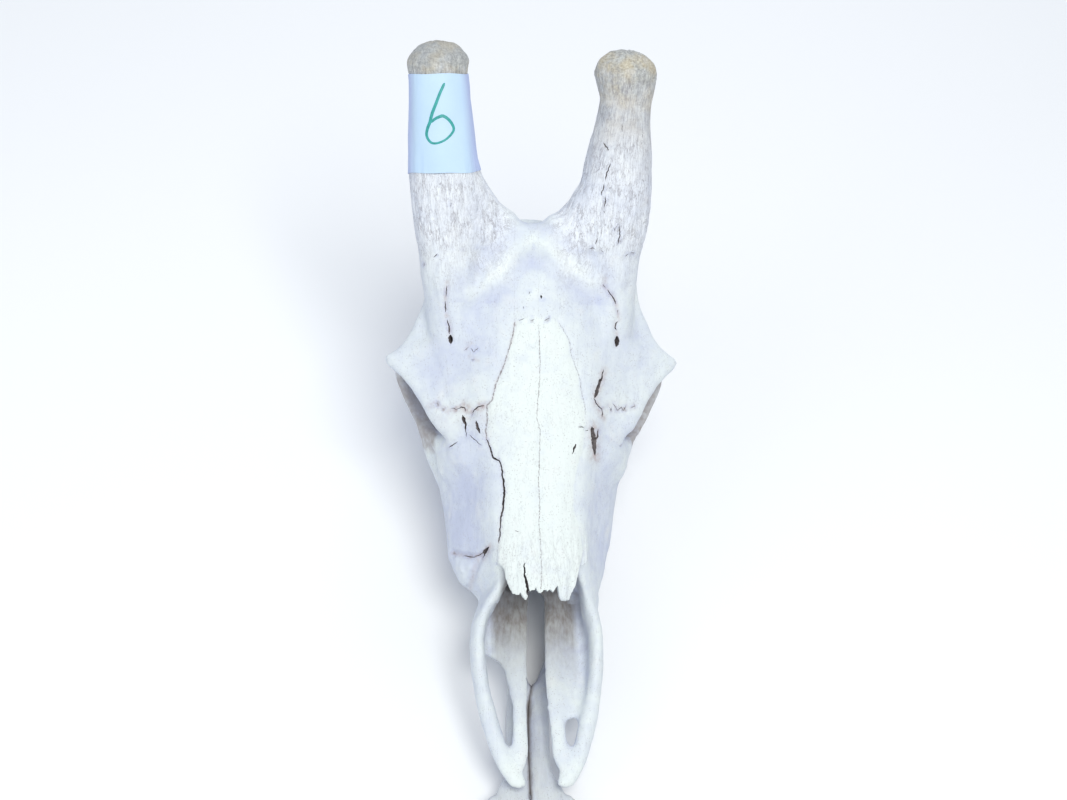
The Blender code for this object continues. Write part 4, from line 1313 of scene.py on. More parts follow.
def node(tree, kind, **settings):
    n = tree.nodes.new(kind)
    for key, val in settings.items():
        setattr(n, key, val)
    return n


def object_coords(tree, scale=(1, 1, 1)):
    coords = node(tree, "ShaderNodeTexCoord")
    mapping = node(tree, "ShaderNodeMapping")
    mapping.inputs["Scale"].default_value = scale
    tree.links.new(coords.outputs["Object"], mapping.inputs["Vector"])
    return mapping.outputs["Vector"]


def noise_at(tree, vector, size_mm, detail=3.0, rough=0.55):
    n = node(tree, "ShaderNodeTexNoise")
    n.inputs["Scale"].default_value = 1000.0 / size_mm
    n.inputs["Detail"].default_value = detail
    n.inputs["Roughness"].default_value = rough
    tree.links.new(vector, n.inputs["Vector"])
    return n.outputs["Fac"]


def spots_at(tree, vector, size_mm):
    n = node(tree, "ShaderNodeTexVoronoi")
    n.inputs["Scale"].default_value = 1000.0 / size_mm
    n.inputs["Randomness"].default_value = 1.0
    tree.links.new(vector, n.inputs["Vector"])
    return n.outputs["Distance"]


def remap(tree, value, low, high, to_low=0.0, to_high=1.0):
    n = node(tree, "ShaderNodeMapRange")
    n.inputs["From Min"].default_value = low
    n.inputs["From Max"].default_value = high
    n.inputs["To Min"].default_value = to_low
    n.inputs["To Max"].default_value = to_high
    tree.links.new(value, n.inputs["Value"])
    return n.outputs["Result"]


def math_node(tree, how, a, b):
    n = node(tree, "ShaderNodeMath", operation=how)
    for k, val in enumerate((a, b)):
        if isinstance(val, (int, float)):
            n.inputs[k].default_value = val
        else:
            tree.links.new(val, n.inputs[k])
    return n.outputs[0]


def plus(tree, a, b):
    return math_node(tree, "ADD", a, b)


def times(tree, a, b):
    return math_node(tree, "MULTIPLY", a, b)


def larger(tree, a, b):
    return math_node(tree, "MAXIMUM", a, b)


def smaller(tree, a, b):
    return math_node(tree, "MINIMUM", a, b)


# %% Mixing colours and bumps
def mix_colour(tree, factor, a, b):
    n = node(tree, "ShaderNodeMix", data_type="RGBA")
    for k, val in ((0, factor), (6, a), (7, b)):
        if isinstance(val, (int, float)):
            n.inputs[k].default_value = val
        elif isinstance(val, tuple):
            n.inputs[k].default_value = (*val, 1)
        else:
            tree.links.new(val, n.inputs[k])
    return n.outputs[2]


def painted(tree, name):
    n = node(tree, "ShaderNodeAttribute", attribute_name=name)
    return n.outputs["Fac"]


def bump(tree, height, strength, distance, before=None):
    n = node(tree, "ShaderNodeBump")
    n.inputs["Strength"].default_value = strength
    n.inputs["Distance"].default_value = distance
    tree.links.new(height, n.inputs["Height"])
    if before is not None:
        tree.links.new(before, n.inputs["Normal"])
    return n.outputs["Normal"]


# %% Patterns on the bone
def stretched(tree, name, scale):
    """A painted place, squeezed so that a pattern on it runs lengthwise."""
    place = node(tree, "ShaderNodeAttribute", attribute_name=name).outputs["Vector"]
    squeeze = node(tree, "ShaderNodeMapping")
    squeeze.inputs["Scale"].default_value = scale
    tree.links.new(place, squeeze.inputs["Vector"])
    return squeeze.outputs["Vector"]


def hairlines(tree, vector, size_mm, thin):
    """Thin wandering lines: the places where a noise passes through its middle value."""
    middle = math_node(tree, "SUBTRACT", noise_at(tree, vector, size_mm, 4, 0.62), 0.5)
    return remap(tree, math_node(tree, "ABSOLUTE", middle, 0.0), 0.0, thin, 1.0, 0.0)


def seam_line(tree, at, name, half_width, strength):
    """A thin dotted line where a painted distance passes through 0."""
    sway = remap(tree, noise_at(tree, at, 2.4, 3, 0.6), 0.3, 0.7, -0.55, 0.55)
    away = math_node(tree, "ABSOLUTE", plus(tree, painted(tree, name), sway), 0.0)
    line = remap(tree, away, 0.5 * half_width, 1.5 * half_width, 1.0, 0.0)
    dots = remap(tree, noise_at(tree, at, 1.3, 3, 0.7), 0.40, 0.56, 0.22, 1.0)
    return times(tree, times(tree, line, dots), strength)


# %% Colours of the bone
BONE_WHITE = (0.775, 0.825, 0.80)
HORN_WHITE = (0.83, 0.86, 0.89)
# bluish grey for painted shade, also reached by the random drift
SHADE_AND_DRIFT_GREY = (0.56, 0.60, 0.73)
WARM_WHITE = (0.78, 0.77, 0.76)
TAN_LIGHT = ((0.59, 0.60, 0.56), (0.63, 0.58, 0.45))
TAN_DARK = ((0.25, 0.25, 0.245), (0.37, 0.31, 0.21))
# brown of dirt and painted shade in shut-in places
DIRT_AND_SHADE = (0.30, 0.26, 0.23)
STAIN = (0.42, 0.31, 0.28)
SOCKET_DARK = (0.37, 0.335, 0.32)
SMOKE = (0.36, 0.38, 0.40)
NOSE_BROWN_AND_SHADE = (0.24, 0.215, 0.195)
WRINKLE = (0.23, 0.21, 0.23)
SEAM = (0.21, 0.18, 0.18)
PIT = (0.36, 0.32, 0.31)


# %% White bone, with painted shade in bluish grey
def bone_whites(tree, at, shelter):
    """White bone that drifts at random between warmer and bluer, painted bluish grey as shade where asked or
    shut in.
    """
    white = mix_colour(tree, painted(tree, "fibre"), BONE_WHITE, HORN_WHITE)
    drift = plus(tree, remap(tree, noise_at(tree, at, 40, 4), 0.36, 0.64, -0.16, 0.16),
                 remap(tree, noise_at(tree, at, 9, 5, 0.62), 0.36, 0.64, -0.11, 0.11))
    # painted shade and highlight from the painted number, random drift, and painted shade where the point is
    # shut in
    shade_and_drift = plus(tree, painted(tree, "painted_shade_and_highlight"), drift)
    shade_and_drift = plus(tree, shade_and_drift, remap(tree, shelter, 0.12, 0.5, 0.0, 0.45))
    colour = mix_colour(tree, smaller(tree, larger(tree, shade_and_drift, 0.0), 1.0), white, SHADE_AND_DRIFT_GREY)
    blotch = remap(tree, noise_at(tree, at, 17, 5, 0.6), 0.56, 0.76, 0.0, 0.35)
    return mix_colour(tree, blotch, colour, WARM_WHITE)


# %% The horns' strokes and tan
def horn_strokes(tree, at, round_horn, knob):
    """Lengthwise strokes on a horn, and grains on its knob."""
    strokes = noise_at(tree, round_horn, 2.4, 4, 0.65)
    grains = noise_at(tree, at, 2.2, 4, 0.7)
    return plus(tree, times(tree, strokes, math_node(tree, "SUBTRACT", 1.0, knob)),
                times(tree, grains, knob))


def add_tan(tree, at, colour, strokes):
    speck = remap(tree, plus(tree, times(tree, strokes, 0.6),
                             times(tree, noise_at(tree, at, 1.6, 4, 0.7), 0.4)), 0.40, 0.58)
    yellow = remap(tree, noise_at(tree, at, 19, 3), 0.42, 0.60)
    tan_light = mix_colour(tree, yellow, *TAN_LIGHT)
    tan_dark = mix_colour(tree, yellow, *TAN_DARK)
    tan_colour = mix_colour(tree, speck, tan_dark, tan_light)
    patch = remap(tree, noise_at(tree, at, 9, 3), 0.35, 0.65, 0.75, 1.2)
    tan = times(tree, painted(tree, "tan"), patch)
    return mix_colour(tree, smaller(tree, tan, 0.95), colour, tan_colour)


# %% Dirt and painted shade, stains, sockets and the smoky knob
def add_dirt_and_shade(tree, at, colour, shelter):
    """Brown where the bone is shut in, dirt and painted shade together; stains; darker sockets; the smoky
    knob.
    """
    # brown where the point is shut in: dirt and painted shade together
    dirt_and_shade = times(tree, remap(tree, shelter, 0.42, 0.85),
                 remap(tree, noise_at(tree, at, 8, 4), 0.3, 0.7, 0.45, 1.0))
    colour = mix_colour(tree, smaller(tree, dirt_and_shade, 0.8), colour, DIRT_AND_SHADE)
    stain = times(tree, painted(tree, "stain"), remap(tree, noise_at(tree, at, 4, 4), 0.35, 0.65, 0.2, 1.0))
    colour = mix_colour(tree, stain, colour, STAIN)
    # darker brown-grey inside the eye sockets
    ragged = plus(tree, painted(tree, "socket_dark"),
                  remap(tree, noise_at(tree, at, 14, 5, 0.65), 0.3, 0.7, -0.42, 0.30))
    socket_dark = times(tree, remap(tree, ragged, 0.25, 0.9),
                  remap(tree, noise_at(tree, at, 5, 4), 0.3, 0.7, 0.6, 0.95))
    colour = mix_colour(tree, socket_dark, colour, SOCKET_DARK)
    return mix_colour(tree, times(tree, painted(tree, "smoke"), 0.4), colour, SMOKE)


# %% Hair-fine wrinkles and pits
def wrinkles(tree, at, along, round_horn, fibre):
    """Dense on the horns, and sparse on the skull and on the nasal tips."""
    where = remap(tree, noise_at(tree, at, 13, 2), 0.40, 0.58)
    fine = hairlines(tree, round_horn, 3.4, 0.036)
    finer = hairlines(tree, round_horn, 1.9, 0.045)
    on_horn = times(tree, larger(tree, fine, times(tree, finer, 0.6)),
                    times(tree, fibre, remap(tree, where, 0.0, 1.0, 0.45, 1.0)))
    on_skull = times(tree, hairlines(tree, along, 5.5, 0.012), where)
    on_tip = times(tree, hairlines(tree, along, 3.0, 0.035), painted(tree, "tip"))
    return larger(tree, on_horn, times(tree, larger(tree, on_skull, on_tip), 0.38))


def all_seams(tree, at):
    """The three shut seams of the nose: painted number, half width, strength."""
    return larger(tree, seam_line(tree, at, "seam_right", 0.50, 1.0),
                  larger(tree, seam_line(tree, at, "seam_middle", 0.33, 0.9),
                         seam_line(tree, at, "seam_left", 0.27, 0.7)))


def add_pits(tree, at, colour, pits):
    rare = remap(tree, noise_at(tree, at, 11, 2), 0.44, 0.56)
    pit_dark = times(tree, math_node(tree, "SUBTRACT", 1.0, pits), rare)
    return mix_colour(tree, times(tree, pit_dark, 0.62), colour, PIT)


# %% The bone material
def bone_material(name):
    """The same layers on every bone: the painted numbers turn skull into horn with no step between."""
    mat, tree, shader = new_material(name)
    at = object_coords(tree)
    along = stretched(tree, "flow", (1.0, 1.0, 0.18))
    round_horn = stretched(tree, "horn_flow", (1.0, 1.0, 0.17))
    shelter, knob = painted(tree, "shelter"), painted(tree, "knob")
    fibre = times(tree, painted(tree, "fibre"), remap(tree, knob, 0.0, 1.0, 1.0, 0.12))
    strokes = horn_strokes(tree, at, round_horn, knob)
    hair = wrinkles(tree, at, along, round_horn, fibre)
    seams = all_seams(tree, at)
    pits = remap(tree, spots_at(tree, at, 1.8), 0.10, 0.24)
    # brown inside the nose and on the jaw's front: stain and painted shade
    nose = times(tree, painted(tree, "nose_brown_and_shade"),
                 remap(tree, noise_at(tree, along, 2.6, 4), 0.3, 0.7, 0.62, 1.0))
    colour = bone_whites(tree, at, shelter)
    colour = add_tan(tree, at, colour, strokes)
    colour = add_dirt_and_shade(tree, at, colour, shelter)
    colour = mix_colour(tree, nose, colour, NOSE_BROWN_AND_SHADE)
    colour = mix_colour(tree, times(tree, hair, 0.73), colour, WRINKLE)
    colour = mix_colour(tree, seams, colour, SEAM)
    colour = add_pits(tree, at, colour, pits)
    tree.links.new(colour, shader.inputs["Base Color"])
    rough = remap(tree, noise_at(tree, at, 5, 3), 0.3, 0.7, 0.52, 0.75)
    tree.links.new(rough, shader.inputs["Roughness"])
    shader.inputs["Specular IOR Level"].default_value = 0.32
    normal = bump(tree, noise_at(tree, along, 1.6, 4, 0.65), 0.45, 0.0004)
    rough_skin = times(tree, strokes, larger(tree, fibre, knob))
    normal = bump(tree, rough_skin, 0.9, 0.0009, normal)
    normal = bump(tree, hair, -1.0, 0.0008, normal)
    normal = bump(tree, seams, -1.0, 0.0005, normal)
    normal = bump(tree, noise_at(tree, at, 0.6, 2), 0.25, 0.0002, normal)
    normal = bump(tree, pits, 0.5, 0.0005, normal)
    tree.links.new(normal, shader.inputs["Normal"])
    return mat


# %% The walls of the cracks, painted dark as shade inside the gaps
def crack_material(name, dark, light):
    mat, tree, shader = new_material(name)
    at = object_coords(tree)
    tone = remap(tree, noise_at(tree, at, 2.5, 4), 0.3, 0.7)
    colour = mix_colour(tree, tone, dark, light)
    tree.links.new(colour, shader.inputs["Base Color"])
    shader.inputs["Roughness"].default_value = 0.9
    shader.inputs["Specular IOR Level"].default_value = 0.1
    tree.links.new(bump(tree, noise_at(tree, at, 0.8, 3), 0.6, 0.0004), shader.inputs["Normal"])
    return mat


bone_white = bone_material("dry_bone")
horn_tan = bone_material("horn_bone")
# the walls inside the cracks are painted dark, as shade inside the gaps
crack_shade = crack_material("crack_wall_shade", (0.085, 0.075, 0.078), (0.25, 0.22, 0.22))
hairline_shade = crack_material("hairline_wall_shade", (0.17, 0.15, 0.15), (0.42, 0.38, 0.38))
print("materials", bone_white.name, horn_tan.name, crack_shade.name, hairline_shade.name)


# %% Normals that run on from bone to bone
SHARP_EDGE = radians(38)
ON_THE_SKIN = 0.00008


def skin_normals(mesh):
    """A function that gives the uncut skin's smooth normal and its distance at any place."""
    verts = [v.co.copy() for v in mesh.vertices]
    faces = [tuple(p.vertices) for p in mesh.polygons]
    tree = BVHTree.FromPolygons(verts, faces)
    normals = [v.normal.copy() for v in mesh.vertices]

    def at(place):
        hit = tree.find_nearest(place)
        total = Vector()
        for i in faces[hit[2]]:
            total += normals[i] / ((verts[i] - hit[0]).length + 1e-5)
        return total.normalized(), hit[3]
    return at


def carry_normals(ob, normal_at):
    """Points on a cut edge keep the skin's own normal, so that no seam shows in the shading."""
    mesh = ob.data
    loops = len(mesh.loops)
    edge_of, vert_of = np.empty(loops, np.int64), np.empty(loops, np.int64)
    mesh.loops.foreach_get("edge_index", edge_of)
    mesh.loops.foreach_get("vertex_index", vert_of)
    sizes = np.empty(len(mesh.polygons), np.int64)
    mesh.polygons.foreach_get("loop_total", sizes)
    face_of = np.repeat(np.arange(len(sizes)), sizes)
    flat = np.empty(len(sizes) * 3)
    mesh.polygons.foreach_get("normal", flat)
    flat = flat.reshape(-1, 3)
    order = np.argsort(edge_of, kind="stable")
    same = edge_of[order][1:] == edge_of[order][:-1]
    first, second = face_of[order][:-1][same], face_of[order][1:][same]
    sharp = edge_of[order][:-1][same][(flat[first] * flat[second]).sum(axis=1) < cos(SHARP_EDGE)]
    rim = np.unique(get_edges(ob)[sharp].ravel())
    known = {}
    for i in rim.tolist():
        n, far = normal_at(mesh.vertices[i].co)
        if far < ON_THE_SKIN:
            known[i] = n
    custom = np.zeros((loops, 3))
    for k in np.nonzero(np.isin(vert_of, np.array(list(known), dtype=np.int64)))[0].tolist():
        n = known[int(vert_of[k])]
        if n.dot(Vector(flat[face_of[k]])) > 0.75:
            custom[k] = n
    mesh.normals_split_custom_set(custom.tolist())
    return len(known)


# %% Dressing the bones
def dress(ob, main, node_names):
    ob.data.materials[0] = main
    ob.data.materials[1] = crack_shade
    ob.data.materials[2] = hairline_shade
    pick(ob)
    bpy.ops.object.shade_smooth_by_angle(angle=SHARP_EDGE)
    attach(ob, "root")
    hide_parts(*node_names)


normal_at = skin_normals(whole_skin)
for ob in bones + jaws:
    own = ob.name.replace("_bone", "")
    is_horn = own.startswith("ossicone")
    dress(ob, horn_tan if is_horn else bone_white, [own])
    if ob in bones:
        kept = carry_normals(ob, normal_at)
        print(own, triangles(ob), "triangles,", kept, "edge points keep the skin's normal")
bpy.data.meshes.remove(whole_skin)

# %% [markdown]
# ## The teeth
# A browsing animal's cheek teeth are tall pillars of ribbed enamel, one for a premolar and two for a
# molar, worn to a sharp rim round a softer hollow. The lower front teeth are spoon-shaped blades. They
# could be carved one by one, but rows repeat, so one pillar and one blade are modelled, by extruding
# and insetting a disc, and each copy is bent to its own place and size in the jaw.


# %% One pillar and one blade
def extrude_disc(name, steps, hollow):
    """A closed peg of unit size: steps are (rise, growth), and hollow lists (inset, rise) for its top."""
    bpy.ops.object.select_all(action="DESELECT")
    bpy.ops.mesh.primitive_circle_add(vertices=24, radius=0.5, fill_type="NGON")
    ob = bpy.context.object
    ob.name = name
    bpy.ops.object.mode_set(mode="EDIT")
    bpy.ops.mesh.select_all(action="SELECT")
    for rise, grow in steps:
        bpy.ops.mesh.extrude_region_move(TRANSFORM_OT_translate={"value": (0, 0, rise)})
        bpy.ops.transform.resize(value=(grow, grow, 1), center_override=(0, 0, 0))
    for inset, rise in hollow:
        bpy.ops.mesh.inset(thickness=inset)
        bpy.ops.transform.translate(value=(0, 0, rise))
    bpy.ops.mesh.select_all(action="SELECT")
    bpy.ops.mesh.normals_make_consistent(inside=False)
    bpy.ops.object.mode_set(mode="OBJECT")
    apply_modifier(ob, "SUBSURF", levels=1, render_levels=1)
    return ob


PILLAR_STEPS = ((0.1, 1.04), (0.2, 1.06), (0.25, 1.04), (0.2, 1.0), (0.15, 0.96), (0.07, 0.93), (0.03, 0.96))
PILLAR_HOLLOW = ((0.05, 0.01), (0.04, -0.05), (0.12, -0.05), (0.1, 0.05))
BLADE_STEPS = ((0.15, 1.0), (0.15, 1.0), (0.2, 1.0), (0.2, 1.0), (0.2, 1.0), (0.07, 0.98), (0.03, 0.9))
BLADE_HOLLOW = ((0.1, 0.0),)
pillar = extrude_disc("pillar", PILLAR_STEPS, PILLAR_HOLLOW)
blade = extrude_disc("blade", BLADE_STEPS, BLADE_HOLLOW)
print("pillar", triangles(pillar), "blade", triangles(blade), "triangles")


# %% Fitting copies into the jaws
TOOTH_STARTS = (206, 222, 240, 259, 286, 315)
TOOTH_LENGTHS = (15, 17, 18, 26, 28, 30)
# a row's place across and its width, both by the place along, then its low and high ends and its step back
UPPER_ROW = (((206, 49), (250, 57), (300, 60), (345, 58)), ((206, 15), (240, 20), (280, 24), (345, 22)),
             20, -2.3, 0)
LOWER_ROW = (((206, 39), (250, 48), (300, 54), (345, 57)), ((206, 10), (240, 13), (280, 16), (345, 15)),
             -30, -3.9, -4)


def along_list(pairs, at):
    return np.interp(at, [p[0] for p in pairs], [p[1] for p in pairs])


def place_tooth(ob, x, y, z, root, worn, upper):
    """Write a tooth's points, given in the skull's frame in millimetres, and its painted numbers."""
    if not upper:
        x = x + along_list(JAW_STEP, y)
    co = from_skull((x, y, z)).T
    set_points(ob, np.ascontiguousarray(co))
    paint(ob, "root", root)
    paint(ob, "worn", worn)
    pick(ob)
    bpy.ops.object.mode_set(mode="EDIT")
    bpy.ops.mesh.select_all(action="SELECT")
    bpy.ops.mesh.normals_make_consistent(inside=False)
    bpy.ops.object.mode_set(mode="OBJECT")
    return ob


# %% Rows of cheek teeth
def cheek_lobe(name, x, y, length, width, low, high, side, upper):
    ob = twin(pillar, name)
    co = get_points(ob)
    reach = np.hypot(co[:, 0], co[:, 1])
    angle = np.arctan2(co[:, 1], co[:, 0])
    wall = np.clip(reach / 0.42, 0, 1) ** 3
    rib = 1 + wall * (0.05 * np.cos(3 * angle) + 0.025 * np.cos(7 * angle + 1.0))
    wrinkle = 0.02 * fine_noise(co * 0.001, 0.12, y * 0.37) * wall
    f = np.clip(co[:, 2], 0, 1)
    px = x + width * (co[:, 0] * (rib + wrinkle))
    py = y + length * 1.04 * co[:, 1] * (rib + wrinkle)
    slope = 0.10 * (px - x) * np.clip((f - 0.7) / 0.3, 0, 1)
    z = low + (high - low) * co[:, 2] + slope
    worn = np.clip((0.43 - reach) / 0.06, 0, 1) * (f > 0.8)
    return place_tooth(ob, side * px, py, z, 1 - f, worn, upper)


def cheek_row(side, row, upper):
    xs, widths, low, high, back = row
    out = []
    where = ("upper" if upper else "lower") + ("_left" if side > 0 else "_right")
    for k, (start, length) in enumerate(zip(TOOTH_STARTS, TOOTH_LENGTHS)):
        mid = start + length / 2 + back
        x, width = float(along_list(xs, mid)), float(along_list(widths, mid))
        name = where + "_tooth_" + str(k + 1)
        lobes = ((0.0, 1.02, 0.0),) if length < 20 else ((-0.25, 0.56, 0.0), (0.25, 0.56, 0.5))
        made = [cheek_lobe(name, x + out_by, mid + length * step, length * size, width, low, high, side,
                           upper) for step, size, out_by in lobes]
        if len(made) > 1:
            pick(*made)
            bpy.ops.object.join()
            made = [bpy.context.object]
        node_name = ("maxilla" if upper else "mandible") + ("_left" if side > 0 else "_right")
        out.append((made[0], node_name))
    return out


# %% Lower front teeth
BLADE_FORM = (
    # reach, half width, half thickness, rise
    (-4, 0.32, 3.4, -2), (5, 0.38, 3.2, 2), (11, 0.49, 2.7, 5.0), (18, 0.54, 1.8, 8.4), (23, 0.50, 0.8, 10.4),
)
BLADE_PLACES = (
    # turn in degrees, width, root
    (3, 11.8, 6.0, -12), (11, 11, 15.4, -10.5), (21, 10.5, 23.6, -8), (35, 13.5, 30.5, -4.5),
)


def front_row(side):
    out = []
    for k, (turn, width, base_x, base_y) in enumerate(BLADE_PLACES):
        ob = twin(blade, ("left" if side > 0 else "right") + "_blade_" + str(k + 1))
        co = get_points(ob)
        f = np.clip(co[:, 2], 0, 1)
        reach = -4 + 27.3 * f
        wide, thick, rise = (along_list([(r[0], r[i]) for r in BLADE_FORM], reach) for i in (1, 2, 3))
        a = radians(turn)
        groove = 1 + 0.10 * np.cos(co[:, 0] * 9 + k) * np.clip(f - 0.3, 0, 1)
        px = base_x + sin(a) * reach + cos(a) * co[:, 0] * 2 * (wide * width + 0.15)
        py = base_y - cos(a) * reach + sin(a) * co[:, 0] * 2 * (wide * width + 0.15)
        px = np.maximum(px, 0.25)
        z = -19 + rise + co[:, 1] * 2 * (thick + 0.15) * groove
        worn = np.clip((f - 0.97) / 0.03, 0, 1)
        place_tooth(ob, side * px, py, z, 1 - f, worn, False)
        out.append((ob, "mandible" + ("_left" if side > 0 else "_right")))
    return out


# %% All the teeth
teeth = []
for side in (1, -1):
    teeth += cheek_row(side, UPPER_ROW, True) + cheek_row(side, LOWER_ROW, False) + front_row(side)
for ob in (pillar, blade):
    bpy.data.objects.remove(ob, do_unlink=True)
print(len(teeth), "teeth,", sum(triangles(t[0]) for t in teeth), "triangles")


# %% Enamel
ENAMEL = ((0.80, 0.78, 0.70), (0.70, 0.64, 0.50))
TOOTH_ROOT = (0.34, 0.24, 0.15)
TOOTH_LINES = (0.45, 0.35, 0.24)
DENTINE = ((0.50, 0.36, 0.22), (0.24, 0.16, 0.10))


def enamel_material():
    mat, tree, shader = new_material("enamel")
    at = object_coords(tree)
    root, worn = painted(tree, "root"), painted(tree, "worn")
    tone = remap(tree, noise_at(tree, at, 9, 4), 0.35, 0.65)
    colour = mix_colour(tree, tone, *ENAMEL)
    edge = plus(tree, root, remap(tree, noise_at(tree, at, 4, 4), 0.3, 0.7, -0.22, 0.22))
    colour = mix_colour(tree, remap(tree, edge, 0.35, 0.75, 0.0, 0.85), colour, TOOTH_ROOT)
    lines = remap(tree, noise_at(tree, object_coords(tree, (1, 1, 0.2)), 0.9, 4, 0.6), 0.35, 0.65)
    colour = mix_colour(tree, times(tree, lines, 0.25), colour, TOOTH_LINES)
    grain = remap(tree, noise_at(tree, at, 1.5, 3), 0.35, 0.65)
    hollow = mix_colour(tree, grain, *DENTINE)
    colour = mix_colour(tree, worn, colour, hollow)
    tree.links.new(colour, shader.inputs["Base Color"])
    rough = remap(tree, worn, 0.0, 1.0, 0.30, 0.6)
    tree.links.new(rough, shader.inputs["Roughness"])
    shader.inputs["Specular IOR Level"].default_value = 0.5
    normal = bump(tree, lines, 0.35, 0.0003)
    normal = bump(tree, noise_at(tree, at, 1.4, 3), 0.3, 0.0003, normal)
    tree.links.new(normal, shader.inputs["Normal"])
    return mat


enamel = enamel_material()
for ob, node_name in teeth:
    ob.data.materials.clear()
    ob.data.materials.append(enamel)
    pick(ob)
    bpy.ops.object.shade_smooth_by_angle(angle=radians(50))
    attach(ob, "root")
    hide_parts(node_name)

# %% [markdown]
# ## The paper slip
# A strip of thin white paper is rolled round the horn and written on with a felt pen. A sheet could be
# dropped on with cloth simulation, but paper keeps its own even curve and doesn't follow each bump, so
# it is a rolled sheet: an open cylinder, shaped row by row, then given its thickness.


# %% Rolling the paper
PAPER_LOW, PAPER_HIGH = 0.340, 0.833
PAPER_RADIUS = 0.0290
PAPER_TAPER = 0.0046
PAPER_THICKNESS = 0.0004
PAPER_FRONT = 78


def make_paper():
    node_name = "paper_label"
    tree = tree_of(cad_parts[node_name])
    horn_tree = tree_of(bpy.data.objects["ossicone_right_bone"])
    foot, tip = (Vector(p) for p in HORN_AXES["ossicone_right"])
    along = (tip - foot).normalized()
    across = Vector((0, 0, 1)).cross(along).normalized()
    rise = along.cross(across)
    length = (tip - foot).length
    bpy.ops.object.select_all(action="DESELECT")
    bpy.ops.mesh.primitive_cylinder_add(vertices=120, radius=0.03, depth=0.075, end_fill_type="NOTHING")
    ob = bpy.context.object
    ob.name = "paper_slip"
    bpy.ops.object.mode_set(mode="EDIT")
    bpy.ops.mesh.select_all(action="SELECT")
    bpy.ops.mesh.subdivide(number_cuts=1)
    bpy.ops.object.mode_set(mode="OBJECT")
    apply_modifier(ob, "SUBSURF", subdivision_type="SIMPLE", levels=2, render_levels=2)
    co = get_points(ob)
    out = np.empty_like(co)
    zs = (co[:, 2] - co[:, 2].min()) / (co[:, 2].max() - co[:, 2].min())
    for i, p in enumerate(co):
        a = atan2(p[1], p[0])
        edge_low = PAPER_LOW + 0.005 * sin(a * 2 + 0.6) + 0.002 * sin(a * 5)
        edge_high = PAPER_HIGH + 0.006 * sin(a + 2.2) + 0.002 * sin(a * 4 + 1)
        s = edge_low + (edge_high - edge_low) * zs[i]
        spread = across * cos(a) + rise * sin(a)
        centre = foot + along * (length * s)
        hit = tree.ray_cast(centre + spread * 0.08, -spread)
        r = (hit[0] - centre).length if hit[0] is not None else 0.0
        even = PAPER_RADIUS - PAPER_TAPER * max(0.0, (s - 0.36) / 0.47) ** 1.2
        sag = 0.0003 * sin(a * 3 + s * 9) + 0.00025 * sin(a * 7 - s * 4)
        bone = horn_tree.ray_cast(centre + spread * 0.08, -spread)
        clear = (bone[0] - centre).length + 0.0008 if bone[0] is not None else 0.0
        out[i] = centre + spread * max(max(r - 0.0001, even) + sag, min(clear, 0.034))
    set_points(ob, out)
    apply_modifier(ob, "SOLIDIFY", thickness=PAPER_THICKNESS, offset=-1)
    co = get_points(ob)
    turn = horn_place(co, "ossicone_right")[1]
    # the paper's sides, which face away from the light, get painted shade
    face = np.cos(turn - radians(PAPER_FRONT))
    side_in_shade = np.clip((0.68 - face) / 0.34, 0, 1)
    paint(ob, "paper_side_shade", side_in_shade * 0.85)
    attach(ob, "root")
    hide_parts(node_name)
    return ob


paper = make_paper()
print("paper", triangles(paper), "triangles")


# %% The paper's material
PAPER_FACING = ((0.56, 0.73, 0.88), (0.53, 0.70, 0.88))
# bluish painted shade on the paper's sides
PAPER_SHADE = (0.46, 0.53, 0.80)
PAPER_FIBRE = (0.70, 0.74, 0.84)


def paper_material():
    mat, tree, shader = new_material("white_paper")
    at = object_coords(tree)
    tone = remap(tree, noise_at(tree, at, 30, 3), 0.35, 0.65)
    colour = mix_colour(tree, tone, *PAPER_FACING)
    # painted shade on the paper's sides
    colour = mix_colour(tree, painted(tree, "paper_side_shade"), colour, PAPER_SHADE)
    fibre = remap(tree, noise_at(tree, at, 0.8, 4, 0.7), 0.3, 0.7, 0.0, 0.12)
    colour = mix_colour(tree, fibre, colour, PAPER_FIBRE)
    tree.links.new(colour, shader.inputs["Base Color"])
    shader.inputs["Roughness"].default_value = 0.7
    shader.inputs["Specular IOR Level"].default_value = 0.3
    tree.links.new(bump(tree, noise_at(tree, at, 0.6, 3, 0.7), 0.15, 0.0002), shader.inputs["Normal"])
    return mat


paper.data.materials.clear()
paper.data.materials.append(paper_material())
pick(paper)
bpy.ops.object.shade_smooth_by_angle(angle=radians(40))

# %% [markdown]
# ## The written number
# The slip bears a plain handwritten 6 in green ink. Ink has no thickness to speak of, so it is a ribbon
# of a quarter of a millimetre laid on the paper. Its middle line is a list of places in the picture,
# and each is carried onto the paper along the camera's ray.

# %% Laying the ink
SIX_LINE = ((444.5, 83), (440, 93), (436, 103.5), (432, 114), (430, 122), (427.7, 128), (426.6, 134),
            (428, 139), (432, 143), (438, 143), (445, 140), (450.6, 135), (453.7, 129.5), (452, 124),
            (448, 119), (443, 116), (439, 117), (435, 119), (430.7, 122.5))
PICTURE_WIDTH, PICTURE_HEIGHT = 1067, 800
INK_GREEN = ((0.02, 0.27, 0.25), (0.05, 0.40, 0.37))
INK_THICKNESS = 0.00025


def camera_ray(x, y):
    """The ray from the camera through a place in the picture."""
    cam = scene.camera
    m = cam.matrix_world
    f = cam.data.lens / cam.data.sensor_width * PICTURE_WIDTH
    cx = PICTURE_WIDTH / 2 - cam.data.shift_x * PICTURE_WIDTH
    cy = PICTURE_HEIGHT / 2 + cam.data.shift_y * PICTURE_WIDTH
    d = m.to_3x3() @ Vector(((x - cx) / f, -(y - cy) / f, -1.0))
    return m.translation.copy(), d.normalized()


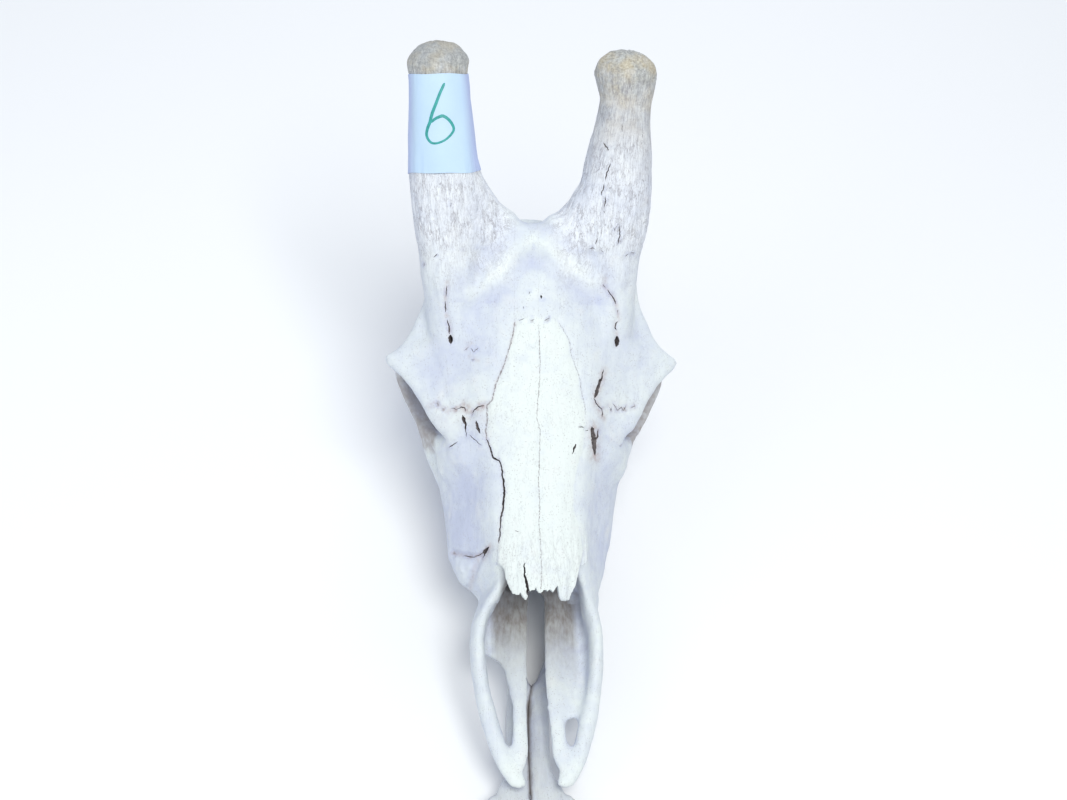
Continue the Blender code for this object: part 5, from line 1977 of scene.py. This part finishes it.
def smooth_line(points, per):
    pts = [Vector((*p, 0)) for p in points]
    out = []
    for i in range(len(pts) - 1):
        p1, p2 = pts[i], pts[i + 1]
        p0 = pts[i - 1] if i > 0 else p1 * 2 - p2
        p3 = pts[i + 2] if i + 2 < len(pts) else p2 * 2 - p1
        for k in range(per):
            t = k / per
            out.append(0.5 * ((2 * p1) + (p2 - p0) * t + (2 * p0 - 5 * p1 + 4 * p2 - p3) * t * t
                              + (3 * p1 - p0 - 3 * p2 + p3) * t ** 3))
    out.append(pts[-1])
    return out


# %% A ribbon on the paper
def make_ink(paper_ob):
    tree = tree_of(paper_ob)
    line = smooth_line(SIX_LINE, 5)
    bm = bmesh.new()
    rows = []
    for i, p in enumerate(line):
        ahead = (line[min(i + 1, len(line) - 1)] - line[max(i - 1, 0)]).normalized()
        side = Vector((-ahead.y, ahead.x, 0))
        t = i / (len(line) - 1)
        w = 1.35 + 0.25 * sin(9 * t) - 0.5 * max(0.0, t - 0.85) * 3
        if i in (0, len(line) - 1):
            w *= 0.5
        row = []
        for k in (-1, -0.5, 0, 0.5, 1):
            q = p + side * (w * k)
            c, d = camera_ray(q.x, q.y)
            hit = tree.ray_cast(c, d)
            lift = 0.00022 if abs(k) < 0.9 else 0.00012
            row.append(bm.verts.new(hit[0] + hit[1] * lift))
        rows.append(row)
    for a, b in zip(rows, rows[1:]):
        for k in range(4):
            bm.faces.new((a[k], a[k + 1], b[k + 1], b[k]))
    bm.normal_update()
    if sum((f.normal.dot(Vector((-0.13, -0.6, 0.78))) for f in bm.faces)) < 0:
        bmesh.ops.reverse_faces(bm, faces=bm.faces)
    mesh = bpy.data.meshes.new("ink_six")
    bm.to_mesh(mesh)
    bm.free()
    ob = bpy.data.objects.new("ink_six", mesh)
    scene.collection.objects.link(ob)
    apply_modifier(ob, "SOLIDIFY", thickness=INK_THICKNESS, offset=-1)
    mat, tree, shader = new_material("green_ink")
    at = object_coords(tree)
    tone = remap(tree, noise_at(tree, at, 2.2, 4), 0.3, 0.7)
    colour = mix_colour(tree, tone, *INK_GREEN)
    tree.links.new(colour, shader.inputs["Base Color"])
    shader.inputs["Roughness"].default_value = 0.5
    ob.data.materials.append(mat)
    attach(ob, "root")
    return ob


ink = make_ink(paper)
print("ink", triangles(ink), "triangles")
